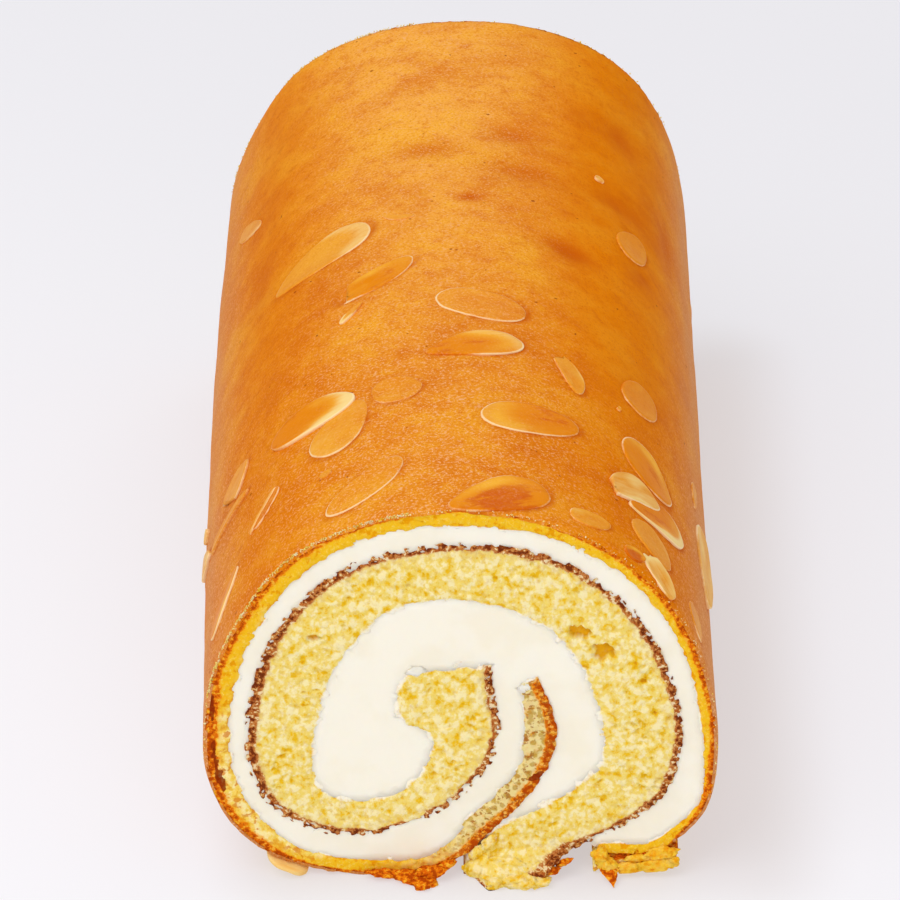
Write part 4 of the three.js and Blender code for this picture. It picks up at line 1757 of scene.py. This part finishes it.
@dataclass
class Cream:
    """The cream between the sheets, cut from a finely faced block. Lengths are in millimetres.

    Attributes:
        half_width: Half the width of the block.
        height: The height of the block.
        foot: How far the block's underside is above the table.
        face_step: The size of its faces.
        behind: How far its two cut faces lie behind the roll's.
        swell: How far its walls are moved out, in under the sheets.
        sharp: The least angle of an edge that stays sharp, in degrees.
    """

    form: RollForm
    half_width: float = 44.0
    height: float = 74.0
    foot: float = 1.0
    face_step: float = 0.85
    behind: float = 0.5
    swell: float = 1.3
    sharp: float = 50.0

    def build(self, finish: Material) -> Piece:
        """Cuts the block to the room between the sheets, softens its faces and dresses it.

        Args:
            finish: The cream finish.

        Returns:
            The piece.
        """
        block = self.block()
        room = self.room()
        cut = block.modifiers.new("room", "BOOLEAN")
        cut.operation = "INTERSECT"
        cut.solver = "EXACT"
        cut.object = room
        apply_modifiers(block)
        bpy.data.objects.remove(room)
        self.swell_walls(block)
        self.soften(block)
        shade(block, finish)
        take(block)
        bpy.ops.object.shade_smooth_by_angle(angle=math.radians(self.sharp))
        seat(block, ["cream_filling"])
        return block

    def block(self) -> Piece:
        """The block, finely faced at both cut ends."""
        clear_selection()
        columns = round(2 * self.half_width / self.face_step)
        rows = round(self.height / self.face_step)
        bpy.ops.mesh.primitive_grid_add(x_subdivisions=columns, y_subdivisions=rows, size=1)
        obj = newest("whipped_cream")
        reach = self.form.length / 2 - self.behind
        with edit_mode():
            bpy.ops.mesh.extrude_region_move(TRANSFORM_OT_translate={"value": (0, 0, 1)})
            bpy.ops.mesh.normals_make_consistent(inside=False)
        flat = places(obj)
        x = flat[:, 0] * 2 * self.half_width
        z = (flat[:, 1] + 0.5) * self.height + self.foot
        y = np.where(flat[:, 2] > 0.5, reach, -reach)
        put_places(obj, (stack(x, y, z) + np.array([*self.form.offset, 0])) * MM)
        with edit_mode():
            bpy.ops.mesh.normals_make_consistent(inside=False)
        return obj

    def room(self) -> Piece:
        """The room between the sheets, reaching past both cut faces."""
        node = bpy.data.objects["cream_filling"]
        room = node.copy()
        room.data = node.data.copy()
        room.parent = None
        room.name = "room"
        bpy.context.scene.collection.objects.link(room)
        take(room)
        with edit_mode():
            bpy.ops.mesh.remove_doubles(threshold=1e-6)
        points = places(room)
        middle = self.form.offset[1] * MM
        points[:, 1] = middle + (points[:, 1] - middle) * 1.02
        put_places(room, points)
        return room

    def swell_walls(self, obj: Piece) -> None:
        """Moves the walls a little out, so that the cream runs in under the sheets."""
        points = places(obj)
        push = np.zeros_like(points)
        for face in obj.data.polygons:
            if abs(face.normal.y) < 0.5:
                push[list(face.vertices)] += np.array(face.normal) * face.area
        push[:, 1] = 0
        reach = np.linalg.norm(push, axis=1)
        points += push / np.maximum(reach, 1e-12)[:, None] * self.swell * MM * (reach > 0)[:, None]
        points[:, 2] = np.maximum(points[:, 2], 0)
        put_places(obj, points)

    def soften(self, obj: Piece) -> None:
        """Makes the two faces gently uneven, as a knife leaves them."""
        points = places(obj)
        reach = (self.form.length / 2 - self.behind) * MM
        y = points[:, 1] - self.form.offset[1] * MM
        face = np.abs(np.abs(y) - reach) < 0.02 * MM
        section = (points[face][:, ::2] / MM) - np.array([self.form.offset[0], 0])
        points[face, 1] += np.sign(y[face]) * self.form.knife_wave(section, np.sign(y[face])) * MM
        put_places(obj, points)


# ---------------- torn crust and crumbs


@dataclass(frozen=True)
class Scrap:
    """A torn scrap of sponge or crust at the near cut. Lengths are in millimetres.

    Attributes:
        place: x, distance in front of the cut, and z of its middle.
        size: Half sizes along x, y and z.
        lean: Degrees that it is turned, seen from the front.
        rough: How uneven it is.
    """

    place: Triple
    size: Triple
    lean: float = 0.0
    rough: float = 0.35


@dataclass
class Scraps:
    """Scraps of one kind, joined into one piece.

    Attributes:
        slot: Not used.
        browned: How browned they are, from 0 to 1.
        eggy: How deep a yellow they are, from 0 to 1.
        detail: How finely they are faced.
    """

    name: str
    form: RollForm
    scraps: tuple[Scrap, ...]
    finish: Material
    slot: str
    browned: float
    eggy: float = 0.0
    detail: int = 3

    def build(self) -> Piece:
        """Models each scrap from a roughened ball and joins them.

        Returns:
            The piece.
        """
        parts = [self.lump(scrap, 5.3 * i + len(self.name)) for i, scrap in enumerate(self.scraps)]
        obj = join(parts, self.name)
        points = places(obj)
        put_flat_map(obj, points[:, 0] + points[:, 1], points[:, 2])
        wave = grain(points / MM, 1.2, 9.0, 2)
        browned = np.clip(self.browned + 0.3 * wave, 0, 1)
        put_masks(obj, hollow=smooth(wave, 0.1, 0.7), browned=browned, eggy=self.eggy)
        shade(obj, self.finish)
        seat(obj)
        return obj

    def lump(self, scrap: Scrap, seed: float) -> Piece:
        """One scrap in its place."""
        clear_selection()
        bpy.ops.mesh.primitive_ico_sphere_add(subdivisions=self.detail, radius=1)
        obj = bpy.context.object
        ball = places(obj)
        size = np.array(scrap.size)
        rough = 1 + scrap.rough * grain(ball, 0.9, seed, 3)
        rough += 0.5 * scrap.rough * grain(ball, 0.35, seed + 2, 2)
        body = ball * rough[:, None] * size
        lean = math.radians(scrap.lean)
        x = scrap.place[0] + body[:, 0] * math.cos(lean) - body[:, 2] * math.sin(lean)
        z = scrap.place[2] + body[:, 0] * math.sin(lean) + body[:, 2] * math.cos(lean)
        y = body[:, 1] - scrap.place[1] - self.form.length / 2
        put_places(obj, self.form.settle(stack(x, y, z)))
        return obj


TORN_CRUST = (
    Scrap((-13.0, 0.8, 0.9), (3.4, 1.2, 0.6), -4),
    Scrap((-9.4, 1.6, 0.7), (2.8, 1.8, 0.8), -8),
    Scrap((-6.6, 2.6, 0.5), (2.4, 2.4, 0.6), 0),
    Scrap((-5.6, 1.0, 1.3), (3.0, 1.5, 1.0), 14),
    Scrap((-2.8, 0.5, 2.2), (2.4, 1.0, 0.8), 34),
    Scrap((15.6, 1.2, 1.8), (1.9, 1.0, 0.9), 12),
    Scrap((18.2, 0.4, 3.0), (1.5, 0.7, 0.6), 30),
)

FOOT_CRUMB = (
    Scrap((1.9, 0.3, 1.5), (1.5, 0.9, 1.5), 0),
    Scrap((3.4, 0.9, 1.7), (2.6, 1.3, 1.8), 0),
    Scrap((6.2, 2.4, 0.9), (2.8, 2.4, 1.2), -4),
    Scrap((10.0, 2.6, 1.0), (3.2, 2.6, 1.3), 0),
    Scrap((13.6, 2.6, 0.8), (2.4, 2.3, 1.0), 4),
    Scrap((8.0, 0.8, 2.6), (4.2, 1.2, 1.8), 0),
    Scrap((13.0, 0.8, 2.2), (2.6, 1.1, 1.4), 8),
    Scrap((3.0, -0.1, 4.6), (1.2, 0.7, 1.9), -36),
    Scrap((5.0, -0.2, 7.0), (1.0, 0.6, 2.0), -36),
)

CREAM_DABS = (
    Scrap((-7.7, -0.45, 42.9), (1.7, 0.28, 1.0), 20),
    Scrap((11.2, -0.45, 39.3), (1.3, 0.28, 0.9), 20),
)

FLAP_CRUMB = (
    Scrap((24.6, 0.4, 4.4), (1.5, 1.0, 1.7), 0),
    Scrap((25.6, 0.6, 2.7), (1.8, 1.1, 1.3), -10),
    Scrap((29.6, 0.4, 1.9), (3.0, 0.9, 1.0), 4),
    Scrap((34.2, 0.4, 2.3), (3.0, 0.9, 1.3), 4),
    Scrap((37.2, 0.2, 3.0), (1.4, 0.8, 1.4), 0),
    Scrap((35.4, 0.1, 4.7), (3.0, 0.8, 1.3), 14),
    Scrap((31.4, 0.0, 3.6), (2.4, 0.6, 0.7), 6),
)


@dataclass
class CrustTip:
    """The pointed scrap of crust that lies on the table in front of the tuck. Lengths are in millimetres.

    Attributes:
        root: x, distance in front of the cut, and z of its thick end.
        tip: The same of its point.
        half_width: Half its width at the thick end.
        half_thick: Half its thickness there.
    """

    form: RollForm
    root: Triple = (25.9, 0.2, 2.4)
    tip: Triple = (27.0, 4.7, 0.35)
    half_width: float = 2.0
    half_thick: float = 0.7

    def build(self, finish: Material) -> None:
        """Models the tip from a finely cut cone and fixes it.

        Args:
            finish: The crumb finish.
        """
        clear_selection()
        bpy.ops.mesh.primitive_cone_add(vertices=32, radius1=1, radius2=0, depth=1, end_fill_type="TRIFAN")
        obj = newest("crust_tip")
        with edit_mode():
            bpy.ops.mesh.subdivide(number_cuts=14)
        cone = places(obj)
        share = cone[:, 2] + 0.5
        root, tip = np.array(self.root), np.array(self.tip)
        rough = 1 + 0.3 * grain(cone, 0.35, 31.0, 3) + 0.15 * grain(cone, 0.12, 33.0, 2)
        axis = root + (tip - root) * share[:, None]
        x = axis[:, 0] + cone[:, 0] * rough * self.half_width
        z = axis[:, 2] + cone[:, 1] * rough * self.half_thick
        y = -axis[:, 1] - self.form.length / 2
        put_places(obj, self.form.settle(stack(x, y, z)))
        put_flat_map(obj, x * MM, (z + y) * MM)
        put_masks(obj, browned=np.clip(0.75 + 0.3 * grain(cone, 0.4, 36.0, 2), 0, 1), eggy=1.0)
        shade(obj, finish)
        seat(obj)


@dataclass
class Crumbs:
    """Loose crumbs along the cut edges of the skin, joined into one piece.

    Attributes:
        least: The least size of a crumb, in millimetres. The greatest is most.
        left_share: The share of them on the upper left of the edge, where the knife dragged.
        left_clocks: That stretch, in degrees clockwise from the top. The others are in all_clocks.
    """

    form: RollForm
    side: BakedSide
    count: int = 1300
    least: float = 0.06
    most: float = 0.18
    left_share: float = 0.7
    left_clocks: Pair = (-88.0, -12.0)
    all_clocks: Pair = (-105.0, 112.0)
    seed: int = 11

    def build(self, finish: Material) -> Piece:
        """Models one crumb, copies it along the edge and joins the copies.

        Args:
            finish: The crumb finish.

        Returns:
            The piece.
        """
        draw = np.random.default_rng(self.seed)
        clear_selection()
        bpy.ops.mesh.primitive_ico_sphere_add(subdivisions=1, radius=1)
        parts = [bpy.context.object]
        ball = places(parts[0])
        for _ in range(self.count - 1):
            copy = parts[0].copy()
            copy.data = parts[0].data.copy()
            bpy.context.scene.collection.objects.link(copy)
            parts.append(copy)
        for part in parts:
            size = draw.uniform(self.least, self.most)
            body = ball * draw.uniform(0.6, 1.3, ball.shape) * size
            face = draw.choice([-1, -1, 1])
            clocks = self.left_clocks if draw.uniform() < self.left_share else self.all_clocks
            along = np.array([self.side.distance(draw.uniform(*clocks))])
            x, z = self.side.point(along, np.array([draw.uniform(-0.4, 0.0)]))
            y = face * (self.form.length / 2 + draw.uniform(-0.45, 0.0))
            put_places(part, self.form.settle(body + np.array([x[0], y, z[0]])))
        obj = join(parts, "loose_crumbs")
        points = places(obj)
        put_flat_map(obj, points[:, 0], points[:, 2])
        put_masks(obj, browned=0.3 * smooth(grain(points / MM, 2.0, 3.0, 1), 0, 0.5), creamed=0.2)
        shade(obj, finish)
        seat(obj)
        return obj


# ---------------- the studio


@dataclass
class Studio:
    """A pale floor, soft light from the upper left, and the camera.

    Attributes:
        azimuth: Degrees that the camera is turned round the cake, to its right.
        elevation: Degrees that it looks down.
        target: What it looks at, in metres.
        distance: How far it is from there, in metres.
        lens: Its focal length, in millimetres.
        lamps: The name, place in metres, size in metres and power in watts of each square soft light.
    """

    azimuth: float = -0.16
    elevation: float = 32.0
    target: Triple = (-0.001025, 0.0006, 0.03342)
    distance: float = 1.2346
    lens: float = 266.9
    lamps: tuple[tuple[str, Triple, float, float], ...] = (
        ("key", (-0.7, -0.6, 1.45), 1.3, 13.0),
        ("back", (0.5, 1.3, 1.2), 1.2, 6.0),
        ("front", (0.3, -1.6, 0.7), 1.2, 6.0),
    )
    sky_colour: Colour = (1.0, 0.99, 1.0, 1.0)
    sky_strength: float = 0.54

    def build(self, finish: Material) -> None:
        """Sets out the floor, the lights, the sky and the camera.

        Args:
            finish: The floor's material.
        """
        self.floor(finish)
        for lamp in self.lamps:
            self.light(*lamp)
        self.sky()
        self.camera()

    def floor(self, finish: Material) -> None:
        """A wide flat floor that isn't part of the cake."""
        clear_selection()
        bpy.ops.mesh.primitive_plane_add(size=6)
        obj = bpy.context.object
        obj.name = "floor"
        with edit_mode():
            bpy.ops.mesh.subdivide(number_cuts=6)
        shade(obj, finish)

    def light(self, name: str, place: Triple, size: float, power: float) -> None:
        """A square soft light aimed at the cake."""
        bpy.ops.object.light_add(type="AREA", location=place)
        lamp = bpy.context.object
        lamp.name = name
        lamp.data.shape = "SQUARE"
        lamp.data.size = size
        lamp.data.energy = power
        aim = Vector(self.target) - Vector(place)
        lamp.rotation_euler = aim.to_track_quat("-Z", "Y").to_euler()

    def sky(self) -> None:
        """An even, slightly cool white all round."""
        world = bpy.data.worlds.new("sky")
        world.use_nodes = True
        background = world.node_tree.nodes["Background"]
        background.inputs["Color"].default_value = self.sky_colour
        background.inputs["Strength"].default_value = self.sky_strength
        bpy.context.scene.world = world
        bpy.context.scene.view_settings.view_transform = "Standard"

    def camera(self) -> None:
        """The camera, looking down at the near cut face and the top."""
        a, e = math.radians(self.azimuth), math.radians(self.elevation)
        back = Vector((math.sin(a) * math.cos(e), -math.cos(a) * math.cos(e), math.sin(e)))
        bpy.ops.object.camera_add(location=Vector(self.target) + back * self.distance)
        camera = bpy.context.object
        camera.rotation_euler = (-back).to_track_quat("-Z", "Y").to_euler()
        camera.data.lens = self.lens
        camera.data.sensor_width = 36.0
        camera.data.clip_start, camera.data.clip_end = 0.05, 20.0
        bpy.context.scene.camera = camera


# ---------------- the whole cake


PALE_CRUMB = CrumbFinish("pale_crumb")

EGGY_CRUMB = CrumbFinish(
    "eggy_crumb",
    wall=tint("F9E4A0"),
    shade=tint("F3D05C"),
    pore=tint("E8B03A"),
    deep=tint("D08A20"),
    crust=tint("D65E06"),
    tawny=tint("E0720A"),
    toast=tint("EE9018"),
    halo=tint("F0A010"),
    char=tint("B04204"),
    fleck=tint("F2B448"),
    ring=tint("D8882C"),
    rings=0.85,
)

WRAP_SLITS = (
    (13.4, 20.9, 1.7, 0.8, 35),
    (-43.2, 35.4, 0.45, 3.4, 0),
    (-42.9, 25.4, 0.5, 4.4, 5),
    (-42.0, 20.6, 0.8, 2.6, 14),
)


@dataclass
class SwissRoll:
    """The whole cake, built from the inside out.

    Attributes:
        form: Its size and how it settled.
        small_cell: Width, height and length of the pores of the thin sheet, in millimetres.
    """

    form: RollForm = field(default_factory=RollForm)
    small_cell: Triple = (1.6, 0.9, 1.4)

    def build(self) -> None:
        """Builds and dresses every piece."""
        side = BakedSide(self.form)
        pale = PALE_CRUMB.material()
        eggy = EGGY_CRUMB.material()
        almond = AlmondFinish().material()
        white = CreamFinish().material()
        Cream(self.form).build(white)
        Scraps("cream_dabs", self.form, CREAM_DABS, white, "cream", browned=0.0).build()
        self.lay_sheets(pale, eggy)
        skin = BrownedSkin(self.form, side, FLAKES)
        skin.build(SkinFinish().material())
        for number, flake in enumerate(FLAKES, 1):
            obj = flake.build(f"flake_{number:02d}", skin, number)
            shade(obj, almond)
            seat(obj, [f"almond_flake_{number:02d}"])
        CaughtFlake(self.form).build(almond)
        AlmondBits(skin).build(almond)
        for name, scraps, finish, slot, browned, yellow in (
            ("torn_crust", TORN_CRUST, eggy, "wrap_sponge", 0.85, 1.0),
            ("foot_crumb", FOOT_CRUMB, pale, "inner_sponge", 0.0, 0.15),
            ("flap_crumb", FLAP_CRUMB, eggy, "wrap_sponge", 0.15, 0.8),
        ):
            Scraps(name, self.form, scraps, finish, slot, browned, yellow, detail=4).build()
        CrustTip(self.form).build(eggy)
        Crumbs(self.form, side).build(pale)

    def lay_sheets(self, pale: Material, eggy: Material) -> None:
        """Builds the thick sheet, the wrap with the strip, and the flap tucked under at the right.

        Args:
            pale: The finish of the thick sheet.
            eggy: The finish of the thin one.
        """
        inner = InnerSponge("inner_sponge_sheet", self.form, SPONGE_GUIDE, columns=760, layers=32)
        inner.build("inner_sponge", ["inner_sponge"], pale)
        wrap = OuterWrap(
            "wrap_crumb",
            self.form,
            WRAP_GUIDE,
            columns=820,
            layers=12,
            pit=0.35,
            cell=self.small_cell,
            ragged=0.25,
            skin_fall=0.1,
            smeared=0.8,
            slits=WRAP_SLITS,
            seed=5.0,
        )
        wrap.build("wrap_sponge", ["outer_wrap"], eggy)
        flap = SpongeSheet(
            "tucked_flap",
            self.form,
            FLAP_GUIDE,
            columns=60,
            layers=12,
            pit=0.4,
            cell=self.small_cell,
            ragged=0.9,
            skin_fall=0.1,
            crumb_fall=0.3,
            smeared=0.0,
            seed=8.0,
        )
        flap.build("wrap_sponge", ["outer_wrap"], eggy)


def main() -> None:
    """Loads the frame, builds the cake and sets out the studio."""
    logging.basicConfig(level=logging.INFO, format="%(name)s %(message)s", force=True)
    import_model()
    clear_selection()
    SwissRoll().build()
    Studio().build(FloorFinish().material())


if __name__ == "__main__":
    main()
